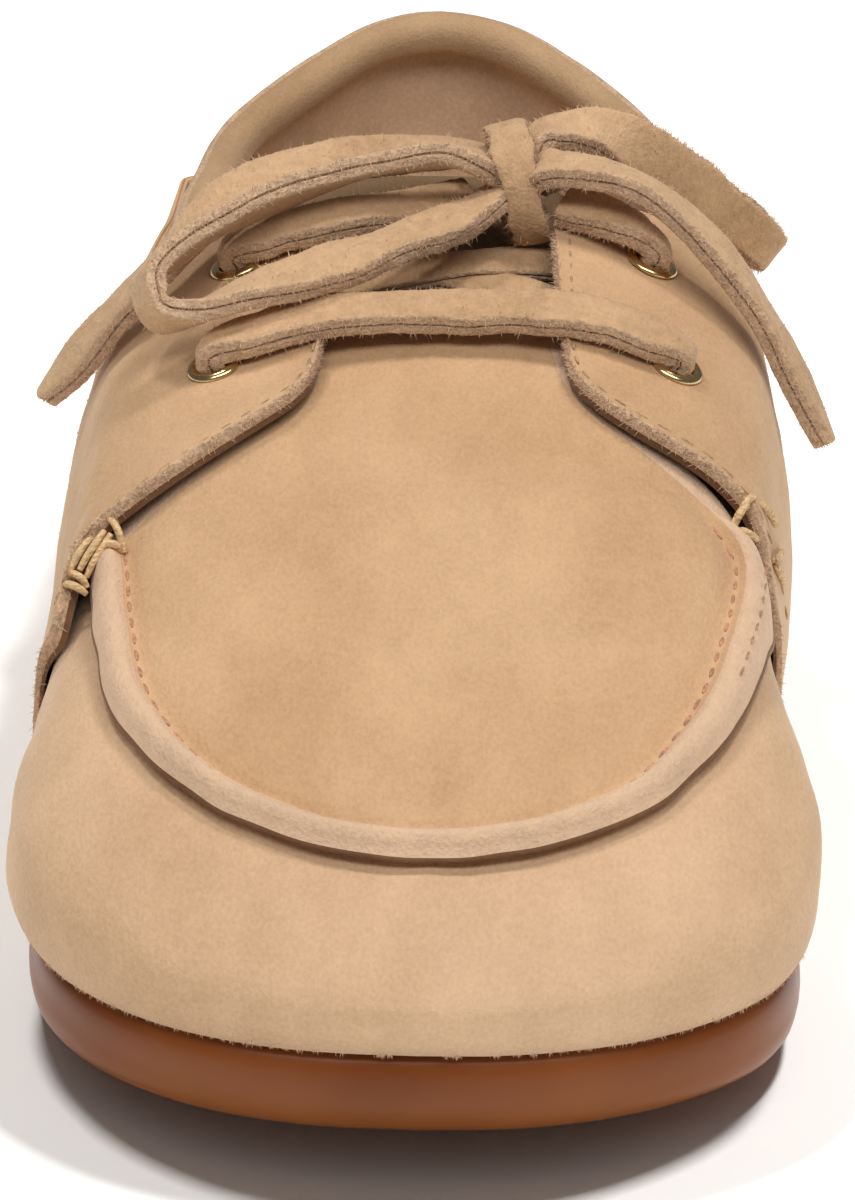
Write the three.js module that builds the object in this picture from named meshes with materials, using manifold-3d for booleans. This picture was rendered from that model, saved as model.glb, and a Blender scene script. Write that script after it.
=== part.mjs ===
// Lace-up moccasin deck shoe, right foot, one shoe standing empty on its sole.
// Millimetres, +Z up. Toe towards -Y, heel towards +Y, inner (medial) side towards +X.
// The origin is on the floor under the middle of the shoe.
import * as THREE from "three";
import { mergeVertices } from "three/addons/utils/BufferGeometryUtils.js";
import Module from "manifold-3d";

const wasm = await Module();
wasm.setup();

// Main sizes of the shoe
const LENGTH = 256; // toe to heel of the upper
const TOE_Y = -LENGTH / 2;
const WALL = 2; // suede of the upper
const GAP = 0.3; // between pieces that meet
const TINY = 1e-3; // a width below this is the tip of the toe or the heel
const WELD = 1e-4; // points closer than this are one
const PROBE = { along: 0.5, around: 0.005 }; // steps to either side of a point, for its normal
const HALVINGS = 40; // of a range that is searched
const SKY = 140; // above everything
const ACROSS = 200; // wider than the shoe
const OVERLAY = 2; // suede of the apron and of the quarters

// The last, a row for each section. at: distance from the toe. lateral, medial: half widths at the widest
// height. ridge: top of the section. bulge: height of the widest point. square: fullness of the section's
// shoulders. shift: how far the ridge stands to the medial side. swing: how far the whole section does.
const SECTIONS = [
  { at: 0, lateral: 46.2, medial: 45.2, ridge: 26.5, bulge: 20.5, square: 3, shift: 1, swing: 0 },
  { at: 20, lateral: 48, medial: 48, ridge: 32.3, bulge: 20, square: 3, shift: 1, swing: 0 },
  { at: 42, lateral: 48.9, medial: 46.6, ridge: 41, bulge: 19.5, square: 3.1, shift: 1, swing: 0 },
  { at: 58, lateral: 47.4, medial: 44.4, ridge: 47.2, bulge: 19.5, square: 3.1, shift: 1.1, swing: 0 },
  { at: 75, lateral: 46.4, medial: 42.8, ridge: 53.5, bulge: 20.5, square: 3.1, shift: 1.3, swing: 0 },
  { at: 95, lateral: 46.8, medial: 45, ridge: 60, bulge: 21.5, square: 2.8, shift: 1.6, swing: 0 },
  { at: 112, lateral: 47.4, medial: 46.6, ridge: 64.3, bulge: 22.5, square: 2.6, shift: 1.6, swing: 0 },
  { at: 133, lateral: 47.6, medial: 46.9, ridge: 68.8, bulge: 23.5, square: 2.5, shift: 1.5, swing: 0.1 },
  { at: 165, lateral: 43, medial: 41.4, ridge: 76, bulge: 25, square: 2.5, shift: 1, swing: 0.5 },
  { at: 205, lateral: 38, medial: 37.6, ridge: 85, bulge: 26, square: 2.6, shift: 0.3, swing: 1.1 },
  { at: 256, lateral: 31, medial: 33, ridge: 90, bulge: 26, square: 2.7, shift: 0, swing: 1.2 },
];
// How far the foot of the wall turns in, a row for each distance from the toe.
const TUCKS = [
  { at: 0, lateral: 2.6, medial: 2.6 },
  { at: 20, lateral: 3.4, medial: 2.9 },
  { at: 42, lateral: 4.6, medial: 3.2 },
  { at: 75, lateral: 4.4, medial: 3 },
  { at: 95, lateral: 4.4, medial: 4 },
  { at: 112, lateral: 4.8, medial: 5.2 },
  { at: 133, lateral: 6, medial: 6.5 },
  { at: 165, lateral: 5.5, medial: 6 },
  { at: 205, lateral: 4, medial: 4 },
];
const TOE_ROUND = { reach: 48, power: 2.35 }; // toe curve in plan
const TOE_TOP = { reach: 22, power: 2.3 }; // toe curve from the side
const HEEL_ROUND = { reach: 40, power: 1.9 }; // heel curve in plan
const HEEL_LEAN = { from: 150, amount: 5, low: 26, high: 66 }; // the heel leans forward towards its top
const TIP = 6; // the wall's foot turns in alike on both sides this far from the tip of the toe
const BULGE_AT = 0.78; // share of the way from ridge to foot where the section is widest
const OPEN_FLOOR = -20; // a form that reaches down to here opens what it is cut from underneath
const STATIONS = { form: 27, outsole: 34, insole: 30 }; // sections from toe to heel
const CROWDING = 0.8; // how far the sections crowd towards toe and heel
const ARC_STEPS = 9; // points from ridge to widest, each side
const TUCK_STEPS = 3; // points from widest to foot, each side

// Collar line seen from the side, a row for each point. at: Y. height: Z.
const COLLAR_LINE = [
  { at: -4, height: 74 },
  { at: 6, height: 69.5 },
  { at: 14, height: 65.5 },
  { at: 28, height: 60 },
  { at: 45, height: 56.3 },
  { at: 65, height: 54.5 },
  { at: 85, height: 54.8 },
  { at: 102, height: 57 },
  { at: 114, height: 60.8 },
  { at: 121, height: 64.8 },
  { at: 127, height: 67.4 },
];
const COLLAR_STEPS = 18;
const COLLAR_BEHIND = { reach: 30, rise: 8 }; // the line led on past the heel
const COLLAR_BAND = { deep: 8.5, thick: 3, from: 24 }; // padded band inside the collar

// Throat slot of the upper's wall, under the quarters
const THROAT = { centre: 1.5, half: 25, front: -26, back: 20, corner: 7, floor: 30 };

// Sole, from its bottom. share: of the sole's local thickness. inset: how far in from the sole's edge.
const SOLE_SIDE = [
  { share: 0, inset: 2.6 },
  { share: 0.05, inset: 1.3 },
  { share: 0.16, inset: 0.45 },
  { share: 0.4, inset: 0 },
  { share: 0.7, inset: 0 },
  { share: 0.91, inset: 0.6 },
  { share: 1, inset: 1.9 },
];
const SOLE_EDGE = 0.58; // share of the wall's tuck that the sole stands in from the widest outline
const SPRING = { toe: 5.4, reach: 90, power: 1.4 }; // the toe's lift off the floor
const SOLE = { forefoot: 9.6, toeTop: 5.6, toePower: 1.5, heelRaise: 4.4, raiseFrom: 95, raiseTo: 210 };
const ARCH = { from: 116, to: 184, rise: 2.4 };
const HEEL_BEVEL = { from: 240, rise: 1.6 };
const INSOLE = { thick: 3, clear: 0.9 };

// Apron outline in plan, a row for each station from the toe back, as half widths from its centre line.
const APRON_CENTRE = 0.5;
const APRON_FLOOR = 22; // lower than the apron's edge
const APRON_STEPS = 40; // each side
const APRON_TOE = -80; // the outline in front of this is the toe's round
const APRON_OUTLINE = [
  { at: -111.6, lateral: 0, medial: 0 },
  { at: -110.9, lateral: 7.5, medial: 7.5 },
  { at: -108.9, lateral: 14.5, medial: 14.5 },
  { at: -103, lateral: 24.6, medial: 24.6 },
  { at: -95, lateral: 32, medial: 31.6 },
  { at: -86.5, lateral: 36.8, medial: 36.3 },
  { at: -76, lateral: 39, medial: 39.2 },
  { at: -67, lateral: 40.2, medial: 41 },
  { at: -57, lateral: 40.4, medial: 41.4 },
  { at: -49, lateral: 32, medial: 36 },
  { at: -42, lateral: 24, medial: 27 },
  { at: -34, lateral: 19, medial: 20 },
  { at: -24, lateral: 17, medial: 18 },
];

// Quarter outlines in plan, from the back of the throat round the front edge, down the side and back.
// out: from the middle plane. at: Y.
const QUARTER_OUTLINES = {
  lateral: [
    { out: 13.2, at: 4 },
    { out: 13.2, at: -16 },
    { out: 12.8, at: -30 },
    { out: 13.4, at: -37.5 },
    { out: 15.8, at: -42.6 },
    { out: 19.6, at: -46.2 },
    { out: 24.2, at: -49.8 },
    { out: 29, at: -53.2 },
    { out: 33.5, at: -56 },
    { out: 38, at: -58.6 },
    { out: 41.2, at: -62 },
    { out: 43.2, at: -67 },
    { out: 46, at: -72 },
    { out: 62, at: -74 },
    { out: 62, at: -10 },
    { out: 46, at: -8 },
    { out: 38.5, at: -1 },
    { out: 31, at: 6 },
    { out: 25, at: 8 },
    { out: 17, at: 7 },
  ],
  medial: [
    { out: 15.6, at: 4 },
    { out: 16, at: -16 },
    { out: 16.4, at: -30 },
    { out: 17.6, at: -37.5 },
    { out: 20.8, at: -41.8 },
    { out: 25.6, at: -45.2 },
    { out: 30.3, at: -47.2 },
    { out: 35, at: -49 },
    { out: 39.2, at: -51.6 },
    { out: 42, at: -54.6 },
    { out: 43.6, at: -60 },
    { out: 46, at: -65 },
    { out: 62, at: -67 },
    { out: 62, at: -10 },
    { out: 48, at: -8 },
    { out: 41, at: -1 },
    { out: 33, at: 6 },
    { out: 27, at: 8 },
    { out: 19, at: 7 },
  ],
};
const QUARTER_STEPS = 44;
const QUARTER_LIFT = 2.3; // the quarter rises this much where it lies over the apron
// Where it rises: down to a share of the way from ridge to foot, between two distances from the toe.
const QUARTER_RISE = { around: 0.4, fade: 0.16, from: 40, to: 150, ramp: 20 };

// Eyelets in plan
const EYELETS = [
  { name: "eyelet_lateral_front", side: -1, x: -26.8, y: -33.4 },
  { name: "eyelet_lateral_back", side: -1, x: -25.1, y: -9.8 },
  { name: "eyelet_medial_front", side: 1, x: 31.1, y: -30.6 },
  { name: "eyelet_medial_back", side: 1, x: 28.9, y: -6.4 },
];
const EYELET = { hole: 2.1, barrel: 2.7, flange: 3.7, low: -1.6, seat: 0.35, high: 0.9, sides: 10 };
const EYELET_DRILL = { long: 24, sides: 20 }; // through quarter and wall

const TONGUE = { half: 22, front: -40, back: 21, corner: 9, round: 0.3, thick: 2.4 };

// Lace: a flat strap of two layers of suede
const LACE = { wide: 7.6, thick: 2.6, corner: 0.8, round: 0.7 };

// Front bar of the lace over the throat. x, y: in plan. lift: of its middle above the last.
const LACE_BAR = [
  { x: -26.8, y: -34, lift: 7.6 },
  { x: -21.2, y: -32.2, lift: 7.2 },
  { x: -12.5, y: -29, lift: 6.5 },
  { x: -5, y: -27.6, lift: 5.8 },
  { x: 1.3, y: -27.1, lift: 5.6 },
  { x: 8.8, y: -27.1, lift: 5.8 },
  { x: 16.4, y: -27.6, lift: 6.5 },
  { x: 23.9, y: -29.3, lift: 7.2 },
  { x: 31.1, y: -31.4, lift: 7.6 },
];
// The crossing in the throat, under the quarters and over the tongue
const LACE_CROSS = { wide: 6.6, thick: 1.9, lift: -1, front: -13, back: -1, half: 20, steps: 8 };
// Stays from the back eyelets to the knot
const LACE_STAYS = {
  lateral: [
    { x: -25.1, y: -10, lift: 7.6 },
    { x: -19, y: -8.6, lift: 7.2 },
    { x: -11, y: -5.4, lift: 6.4 },
    { x: -3, y: -0.4, lift: 4.3 },
    { x: 5.4, y: 4, lift: 3.6 },
  ],
  medial: [
    { x: 28.9, y: -6.6, lift: 7.6 },
    { x: 25.4, y: -5, lift: 7.7 },
    { x: 21, y: -3, lift: 7.4 },
    { x: 17.4, y: -1.6, lift: 7 },
  ],
};

const KNOT = { x: 11.2, y: 2, z: 75.2, wide: 4.2, deep: 5.6, high: 6.2, tip: 35, sides: 12, rings: 9 };

// Routes of the bow, a row for each point, and the direction of the strap's width there.
const LOOP_LATERAL = [
  { x: 6.2, y: 0, z: 78.4, ax: 0, ay: 1, az: 0 },
  { x: 0.8, y: -1, z: 79.6, ax: 0, ay: 1, az: 0.05 },
  { x: -8, y: -3.6, z: 79, ax: 0.05, ay: 1, az: 0.1 },
  { x: -17, y: -8, z: 77.2, ax: 0.1, ay: 1, az: 0.1 },
  { x: -25.2, y: -14, z: 75.4, ax: 0.2, ay: 1, az: 0.15 },
  { x: -31.4, y: -21.4, z: 73.4, ax: 0.3, ay: 1, az: 0.3 },
  { x: -35.2, y: -27.6, z: 71.2, ax: 0.3, ay: 1, az: 0.4 },
  { x: -34, y: -31.2, z: 68.2, ax: 0.25, ay: 1, az: 0.35 },
  { x: -29, y: -32, z: 68.4, ax: 0.2, ay: 1, az: 0.25 },
  { x: -22.8, y: -30, z: 70.2, ax: 0.15, ay: 1, az: 0.2 },
  { x: -14.6, y: -25, z: 71.4, ax: 0.1, ay: 1, az: 0.15 },
  { x: -5.4, y: -17.4, z: 72.4, ax: 0.05, ay: 1, az: 0.1 },
  { x: 1.8, y: -9.6, z: 72.8, ax: 0, ay: 1, az: 0.1 },
  { x: 6.4, y: -4.2, z: 73.6, ax: 0, ay: 1, az: 0 },
];
const LOOP_MEDIAL = [
  { x: 14.6, y: 6.4, z: 80, ax: 0, ay: 1, az: 0.2 },
  { x: 20.6, y: 8.6, z: 80.4, ax: 0.1, ay: 0.9, az: 0.5 },
  { x: 26.6, y: 11.4, z: 78, ax: 0.3, ay: 0.7, az: 0.7 },
  { x: 32.3, y: 14.4, z: 73.8, ax: 0.4, ay: 0.6, az: 0.7 },
  { x: 38, y: 17, z: 69, ax: 0.45, ay: 0.6, az: 0.7 },
  { x: 43, y: 18.8, z: 64.4, ax: 0.45, ay: 0.6, az: 0.7 },
  { x: 46.2, y: 20.4, z: 61, ax: 0.45, ay: 0.7, az: 0.6 },
  { x: 45.8, y: 23, z: 59.6, ax: 0.45, ay: 0.7, az: 0.6 },
  { x: 42.2, y: 22.6, z: 61.8, ax: 0.45, ay: 0.7, az: 0.6 },
  { x: 36, y: 20.6, z: 66.6, ax: 0.45, ay: 0.6, az: 0.7 },
  { x: 29.6, y: 17.8, z: 71.2, ax: 0.4, ay: 0.6, az: 0.7 },
  { x: 24, y: 14.4, z: 74.4, ax: 0.3, ay: 0.7, az: 0.7 },
  { x: 18.6, y: 10.6, z: 76, ax: 0.1, ay: 0.9, az: 0.4 },
  { x: 15.6, y: 7.6, z: 75.6, ax: 0, ay: 1, az: 0.2 },
];
const END_MEDIAL = [
  { x: 15.9, y: -2.8, z: 78.6, ax: 0, ay: 1, az: 0.1 },
  { x: 21.8, y: -3.8, z: 78.4, ax: 0.1, ay: 1, az: 0.3 },
  { x: 27.4, y: -5.2, z: 76.9, ax: 0.4, ay: 1, az: 0.6 },
  { x: 32.8, y: -7.4, z: 73.6, ax: 0.7, ay: 0.9, az: 0.7 },
  { x: 37.6, y: -9.6, z: 69.2, ax: 0.7, ay: 0.9, az: 0.6 },
  { x: 43.2, y: -11.8, z: 61.8, ax: 0.7, ay: 0.9, az: 0.5 },
  { x: 48, y: -13, z: 53.4, ax: 0.7, ay: 0.9, az: 0.4 },
  { x: 52, y: -14, z: 45.4, ax: 0.7, ay: 0.9, az: 0.4 },
];
const END_LATERAL = [
  { x: 5.6, y: 8, z: 77, ax: 0, ay: 1, az: 0 },
  { x: -4.2, y: 7.8, z: 77.1, ax: 0, ay: 1, az: 0 },
  { x: -16.6, y: 3.4, z: 76.6, ax: -0.1, ay: 1, az: 0.2 },
  { x: -26.6, y: -5.2, z: 74.4, ax: -0.3, ay: 1, az: 0.3 },
  { x: -34.2, y: -12.8, z: 68.2, ax: -0.5, ay: 1, az: 0.4 },
  { x: -40.4, y: -14.6, z: 61.8, ax: -0.6, ay: 0.9, az: 0.4 },
  { x: -45.6, y: -13.6, z: 55.2, ax: -0.6, ay: 0.9, az: 0.4 },
  { x: -50, y: -12, z: 49.4, ax: -0.6, ay: 0.9, az: 0.4 },
];

// Thong along each side under the collar. at: Y. height: Z.
const THONG = { wide: 5, thick: 2.2, clear: 0.5, steps: 9 };
const THONG_LINE = [
  { at: 12, height: 50 },
  { at: 25, height: 49.4 },
  { at: 40, height: 49 },
  { at: 60, height: 49.2 },
  { at: 76, height: 51 },
];

const FINISHES = {
  suede: { color: 0xcfa87d, roughness: 0.9, metalness: 0 },
  lining: { color: 0x9c7c60, roughness: 0.9, metalness: 0 },
  gum: { color: 0x98603a, roughness: 0.45, metalness: 0 },
  brass: { color: 0xb08d4a, roughness: 0.3, metalness: 1 },
  lace: { color: 0xc49b72, roughness: 0.9, metalness: 0 },
};

function mix(a, b, share) {
  return a + (b - a) * share;
}

function clamp01(value) {
  return Math.min(1, Math.max(0, value));
}

function smooth(value) {
  const s = clamp01(value);
  return s * s * (3 - 2 * s);
}

// Smooth curve through one column of a table, with no overshoot between rows.
function column(rows, name, at, key = "at") {
  const end = rows.length - 1;
  if (at <= rows[0][key]) return rows[0][name];
  if (at >= rows[end][key]) return rows[end][name];
  let i = 0;
  while (rows[i + 1][key] < at) i += 1;
  const secant = (k) => (rows[k + 1][name] - rows[k][name]) / (rows[k + 1][key] - rows[k][key]);
  const slope = (k) => {
    if (k === 0) return secant(0);
    if (k === end) return secant(end - 1);
    const before = secant(k - 1);
    const after = secant(k);
    return before * after <= 0 ? 0 : (2 * before * after) / (before + after);
  };
  const span = rows[i + 1][key] - rows[i][key];
  const s = (at - rows[i][key]) / span;
  const a = rows[i][name];
  const b = rows[i + 1][name];
  const c = slope(i) * span;
  const d = slope(i + 1) * span;
  return a + s * (c + s * (3 * (b - a) - 2 * c - d + s * (2 * (a - b) + c + d)));
}

// Rises from 0 to 1 as a superellipse quarter.
function rounded(share, power) {
  return Math.pow(1 - Math.pow(1 - clamp01(share), power), 1 / power);
}

function lastAt(name, station) {
  return column(SECTIONS, name, station);
}

// Half width of the form at its widest height; side is -1 (lateral) or 1 (medial).
function halfWidth(station, side, grow) {
  const toe = rounded((station + grow) / (TOE_ROUND.reach + grow), TOE_ROUND.power);
  const heel = rounded((LENGTH + grow - station) / (HEEL_ROUND.reach + grow), HEEL_ROUND.power);
  const half = (lastAt(side < 0 ? "lateral" : "medial", station) + grow) * toe * heel;
  return half < TINY ? 0 : half;
}

// Plan point of the widest outline, moved inwards along its normal.
function outlinePoint(station, side, grow, inset) {
  const step = 0.02;
  if (halfWidth(station, side, grow) === 0) {
    const inwards = station < LENGTH / 2 ? 1 : -1;
    return { x: lastAt("swing", station), y: TOE_Y + station + inwards * inset };
  }
  const low = Math.max(-grow, station - step);
  const high = Math.min(LENGTH + grow, station + step);
  const slope = (halfWidth(high, side, grow) - halfWidth(low, side, grow)) / (high - low);
  const size = Math.hypot(1, slope);
  const x = Math.max(0, halfWidth(station, side, grow) - inset / size);
  return { x: side * x + lastAt("swing", station), y: TOE_Y + station + (inset * slope) / size };
}

// How far the foot of the wall turns in.
function tuckAt(station, side) {
  return column(TUCKS, side < 0 ? "lateral" : "medial", Math.max(0, station - TIP));
}

function soleBottom(station) {
  const spring = SPRING.toe * Math.pow(clamp01(1 - station / SPRING.reach), SPRING.power);
  const arch = clamp01((station - ARCH.from) / (ARCH.to - ARCH.from));
  const bevel = clamp01((station - HEEL_BEVEL.from) / (LENGTH - HEEL_BEVEL.from));
  return spring + ARCH.rise * Math.sin(Math.PI * arch) ** 2 + HEEL_BEVEL.rise * bevel * bevel;
}

function soleTop(station) {
  const toe = SOLE.toeTop * Math.pow(clamp01(1 - station / SPRING.reach), SOLE.toePower);
  const raise = smooth((station - SOLE.raiseFrom) / (SOLE.raiseTo - SOLE.raiseFrom));
  return SOLE.forefoot + toe + SOLE.heelRaise * raise;
}

function leanAt(station, height) {
  const back = clamp01((station - HEEL_LEAN.from) / (LENGTH - HEEL_LEAN.from));
  const up = (height - HEEL_LEAN.low) / (HEEL_LEAN.high - HEEL_LEAN.low);
  return HEEL_LEAN.amount * back * back * up * up;
}

// Point of the last grown by an amount. around: -1 at the lateral foot, 0 at the ridge, 1 at the medial foot.
function formPoint(station, around, grow) {
  const side = around < 0 ? -1 : 1;
  const share = Math.abs(around);
  const bulge = lastAt("bulge", station);
  if (share > BULGE_AT) {
    const turn = ((share - BULGE_AT) / (1 - BULGE_AT)) * (Math.PI / 2);
    const p = outlinePoint(station, side, grow, tuckAt(station, side) * (1 - Math.cos(turn)));
    const z = bulge - (bulge - soleTop(station) - GAP) * Math.sin(turn);
    return new THREE.Vector3(p.x, p.y - leanAt(station, z), z);
  }
  const turn = (share / BULGE_AT) * (Math.PI / 2);
  const power = 2 / lastAt("square", station);
  const rise = Math.pow(Math.max(0, Math.cos(turn)), power);
  const spread = Math.pow(Math.sin(turn), power);
  const toe = rounded((station + grow) / (TOE_ROUND.reach + grow), TOE_ROUND.power);
  const heel = rounded((LENGTH + grow - station) / (HEEL_ROUND.reach + grow), HEEL_ROUND.power);
  const crest = rounded((station + grow) / (TOE_TOP.reach + grow), TOE_TOP.power);
  const shift = lastAt("swing", station) + lastAt("shift", station) * rise * toe * heel;
  const x = side * halfWidth(station, side, grow) * spread + shift;
  const z = bulge + (lastAt("ridge", station) + grow - bulge) * crest * rise;
  return new THREE.Vector3(x, TOE_Y + station - leanAt(station, z), z);
}

// Station and around of the point of a form above a plan position.
function placeOn(x, y, grow) {
  const station = y - TOE_Y;
  const ridge = formPoint(station, 0, grow).x;
  const side = x < ridge ? -1 : 1;
  let low = 0;
  let high = BULGE_AT;
  for (let i = 0; i < HALVINGS; i += 1) {
    const middle = (low + high) / 2;
    if (side * formPoint(station, side * middle, grow).x < side * x) low = middle;
    else high = middle;
  }
  return { station, around: side * low };
}

// Directions along and across a form at a point.
function slopesAt(station, around, grow) {
  const ahead = formPoint(station + PROBE.along, around, grow);
  const behind = formPoint(station - PROBE.along, around, grow);
  const far = formPoint(station, around + PROBE.around, grow);
  const near = formPoint(station, around - PROBE.around, grow);
  return { along: ahead.sub(behind), across: far.sub(near) };
}

// Point of a form above a plan position, and its outward normal.
function surfaceAt(x, y, grow) {
  const { station, around } = placeOn(x, y, grow);
  const point = formPoint(station, around, grow);
  const { along, across } = slopesAt(station, around, grow);
  const normal = across.cross(along).normalize();
  if (normal.z < 0) normal.negate();
  return { point, normal };
}

function closedGeometry(points, faces) {
  const raw = new THREE.BufferGeometry();
  const numbers = points.flatMap((p) => [p.x, p.y, p.z]);
  raw.setAttribute("position", new THREE.Float32BufferAttribute(numbers, 3));
  raw.setIndex(faces.flat());
  return raw;
}

function solidOf(geometry) {
  const bare = new THREE.BufferGeometry().setAttribute("position", geometry.getAttribute("position"));
  if (geometry.index) bare.setIndex(geometry.index);
  const merged = mergeVertices(bare, WELD);
  const index = merged.index.array;
  const triVerts = [];
  for (let i = 0; i < index.length; i += 3) {
    const [a, b, c] = [index[i], index[i + 1], index[i + 2]];
    if (a !== b && b !== c && c !== a) triVerts.push(a, b, c);
  }
  return new wasm.Manifold(new wasm.Mesh({
    numProp: 3,
    vertProperties: new Float32Array(merged.getAttribute("position").array),
    triVerts: new Uint32Array(triVerts),
  }));
}

// Closed solid through rings of equally many points. An end ring is a line or a point.
function loft(rings) {
  const size = rings[0].length;
  const faces = [];
  for (let i = 0; i + 1 < rings.length; i += 1) {
    for (let j = 0; j < size; j += 1) {
      const k = (j + 1) % size;
      const a = i * size + j;
      const b = i * size + k;
      const c = (i + 1) * size + k;
      const d = (i + 1) * size + j;
      faces.push([a, b, c], [a, c, d]);
    }
  }
  return solidOf(closedGeometry(rings.flat(), faces));
}

// Stations from toe to heel, closer together where the outline turns.
function stations(grow, count) {
  const reach = LENGTH + 2 * grow;
  return Array.from({ length: count + 1 }, (unused, i) => {
    const s = i / count;
    const eased = mix(s, (1 - Math.cos(Math.PI * s)) / 2, CROWDING);
    return -grow + reach * eased;
  });
}

function aroundSteps() {
  const arc = Array.from({ length: ARC_STEPS + 1 }, (unused, i) => BULGE_AT * (i / ARC_STEPS));
  const tuck = Array.from({ length: TUCK_STEPS }, (unused, i) => mix(BULGE_AT, 1, (i + 1) / TUCK_STEPS));
  const half = [...arc, ...tuck];
  return [...half.slice(1).reverse().map((a) => -a), ...half];
}

// The last grown by an amount. A floor lower than the foot of the wall opens what the form is cut from.
function form(grow, floor = null) {
  const growAt = typeof grow === "function" ? grow : () => grow;
  const widest = growAt(1, 0);
  const steps = aroundSteps();
  const rings = stations(widest, STATIONS.form).map((station) => {
    const ring = steps.map((around) => formPoint(station, around, growAt(around, station)));
    if (floor === null) return ring;
    const first = ring[0];
    const end = ring[ring.length - 1];
    const left = new THREE.Vector3(first.x, first.y, floor);
    const right = new THREE.Vector3(end.x, end.y, floor);
    return [left, ...ring, right];
  });
  return loft(rings);
}

// Prism of a plan outline, from low to high.
function planPrism(outline, low, high) {
  const shape = new THREE.Shape(outline.map((p) => new THREE.Vector2(p.x, p.y)));
  const geometry = new THREE.ExtrudeGeometry(shape, { depth: high - low, bevelEnabled: false, steps: 1 });
  geometry.translate(0, 0, low);
  return solidOf(geometry);
}

// Prism of a side outline of Y and Z, right across the shoe.
function sidePrism(outline) {
  const shape = new THREE.Shape(outline.map((p) => new THREE.Vector2(p.y, p.z)));
  const geometry = new THREE.ExtrudeGeometry(shape, { depth: ACROSS, bevelEnabled: false, steps: 1 });
  geometry.applyMatrix4(new THREE.Matrix4().makeBasis(
    new THREE.Vector3(0, 1, 0),
    new THREE.Vector3(0, 0, 1),
    new THREE.Vector3(1, 0, 0),
  ));
  geometry.translate(-ACROSS / 2, 0, 0);
  return solidOf(geometry);
}

// Smooth curve through points, open or closed.
function smoothCurve(points, closed = false) {
  return new THREE.CatmullRomCurve3(points, closed, "centripetal");
}

// Points of the collar line from a Y to the heel, lowered by an amount.
function collarHeights(drop, from) {
  const end = COLLAR_LINE[COLLAR_LINE.length - 1].at;
  return Array.from({ length: COLLAR_STEPS + 1 }, (unused, i) => {
    const y = mix(from, end, i / COLLAR_STEPS);
    return { y, z: column(COLLAR_LINE, "height", y) - drop };
  });
}

// Everything above the collar line.
function collarCut() {
  const run = collarHeights(0, COLLAR_LINE[0].at);
  const end = run[run.length - 1];
  const behind = end.y + COLLAR_BEHIND.reach;
  const back = { y: behind, z: end.z + COLLAR_BEHIND.rise };
  return sidePrism([...run, back, { y: behind, z: SKY }, { y: run[0].y, z: SKY }]);
}

function throatCut() {
  const { centre, half, front, back, corner, floor } = THROAT;
  return planPrism([
    { x: centre - half + corner, y: front },
    { x: centre + half - corner, y: front },
    { x: centre + half, y: front + corner },
    { x: centre + half, y: back },
    { x: centre - half, y: back },
    { x: centre - half, y: front + corner },
  ], floor, SKY);
}

// The prism of one eyelet's hole, right through quarter and wall.
function eyeletCut(eyelet, radius) {
  const { point, normal } = eyeletSeat(eyelet);
  const geometry = new THREE.CylinderGeometry(radius, radius, EYELET_DRILL.long, EYELET_DRILL.sides);
  geometry.applyQuaternion(new THREE.Quaternion().setFromUnitVectors(new THREE.Vector3(0, 1, 0), normal));
  geometry.translate(point.x, point.y, point.z);
  return solidOf(geometry);
}

// Height of a quarter's outside above the last.
function quarterGrow(around, station) {
  const { from, to, ramp, fade } = QUARTER_RISE;
  const over = 1 - smooth((Math.abs(around) - QUARTER_RISE.around) / fade);
  const along = smooth((station - from) / ramp) * (1 - smooth((station - to) / ramp));
  return GAP + OVERLAY + QUARTER_LIFT * over * along;
}

function eyeletSeat(eyelet) {
  const inner = placeOn(eyelet.x, eyelet.y, 0);
  return surfaceAt(eyelet.x, eyelet.y, quarterGrow(inner.around, inner.station));
}

function makeUpper() {
  let wall = form(0).subtract(form(-WALL, OPEN_FLOOR));
  wall = wall.subtract(collarCut()).subtract(throatCut());
  EYELETS.forEach((eyelet) => {
    wall = wall.subtract(eyeletCut(eyelet, EYELET.barrel + GAP));
  });
  return wall;
}

// Prism of the apron's outline, with room around it.
function apronPrism(spare) {
  const end = APRON_OUTLINE[APRON_OUTLINE.length - 1].at;
  const edge = (name, side) => {
    const rows = APRON_OUTLINE.map((row) => new THREE.Vector3(APRON_CENTRE + side * row[name], row.at, 0));
    return smoothCurve(rows).getPoints(APRON_STEPS).map((p) => ({
      x: p.x + (Math.abs(p.x - APRON_CENTRE) > 1 ? side * spare : 0),
      y: p.y + (p.y < APRON_TOE ? -spare : 0) + (p.y > end - 1 ? 2 * spare : 0),
    }));
  };
  const left = edge("lateral", -1).slice(1).reverse();
  return planPrism([...edge("medial", 1), ...left], APRON_FLOOR, SKY);
}

function makeApron() {
  return form(GAP + OVERLAY).subtract(form(GAP)).intersect(apronPrism(0));
}

function quarterPrism(side) {
  const table = side < 0 ? QUARTER_OUTLINES.lateral : QUARTER_OUTLINES.medial;
  const rows = table.map((row) => new THREE.Vector3(side * row.out, row.at, 0));
  const outline = smoothCurve(rows, true).getPoints(QUARTER_STEPS).slice(0, -1);
  return planPrism(side > 0 ? outline : outline.reverse(), OPEN_FLOOR, SKY);
}

function makeQuarter(side) {
  const apronRoom = form(2 * GAP + OVERLAY).intersect(apronPrism(GAP));
  const shell = form(quarterGrow).subtract(form(GAP, OPEN_FLOOR)).subtract(apronRoom);
  let piece = shell.intersect(quarterPrism(side)).subtract(collarCut());
  EYELETS.filter((eyelet) => eyelet.side === side).forEach((eyelet) => {
    piece = piece.subtract(eyeletCut(eyelet, EYELET.barrel + GAP));
  });
  return piece;
}

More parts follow.
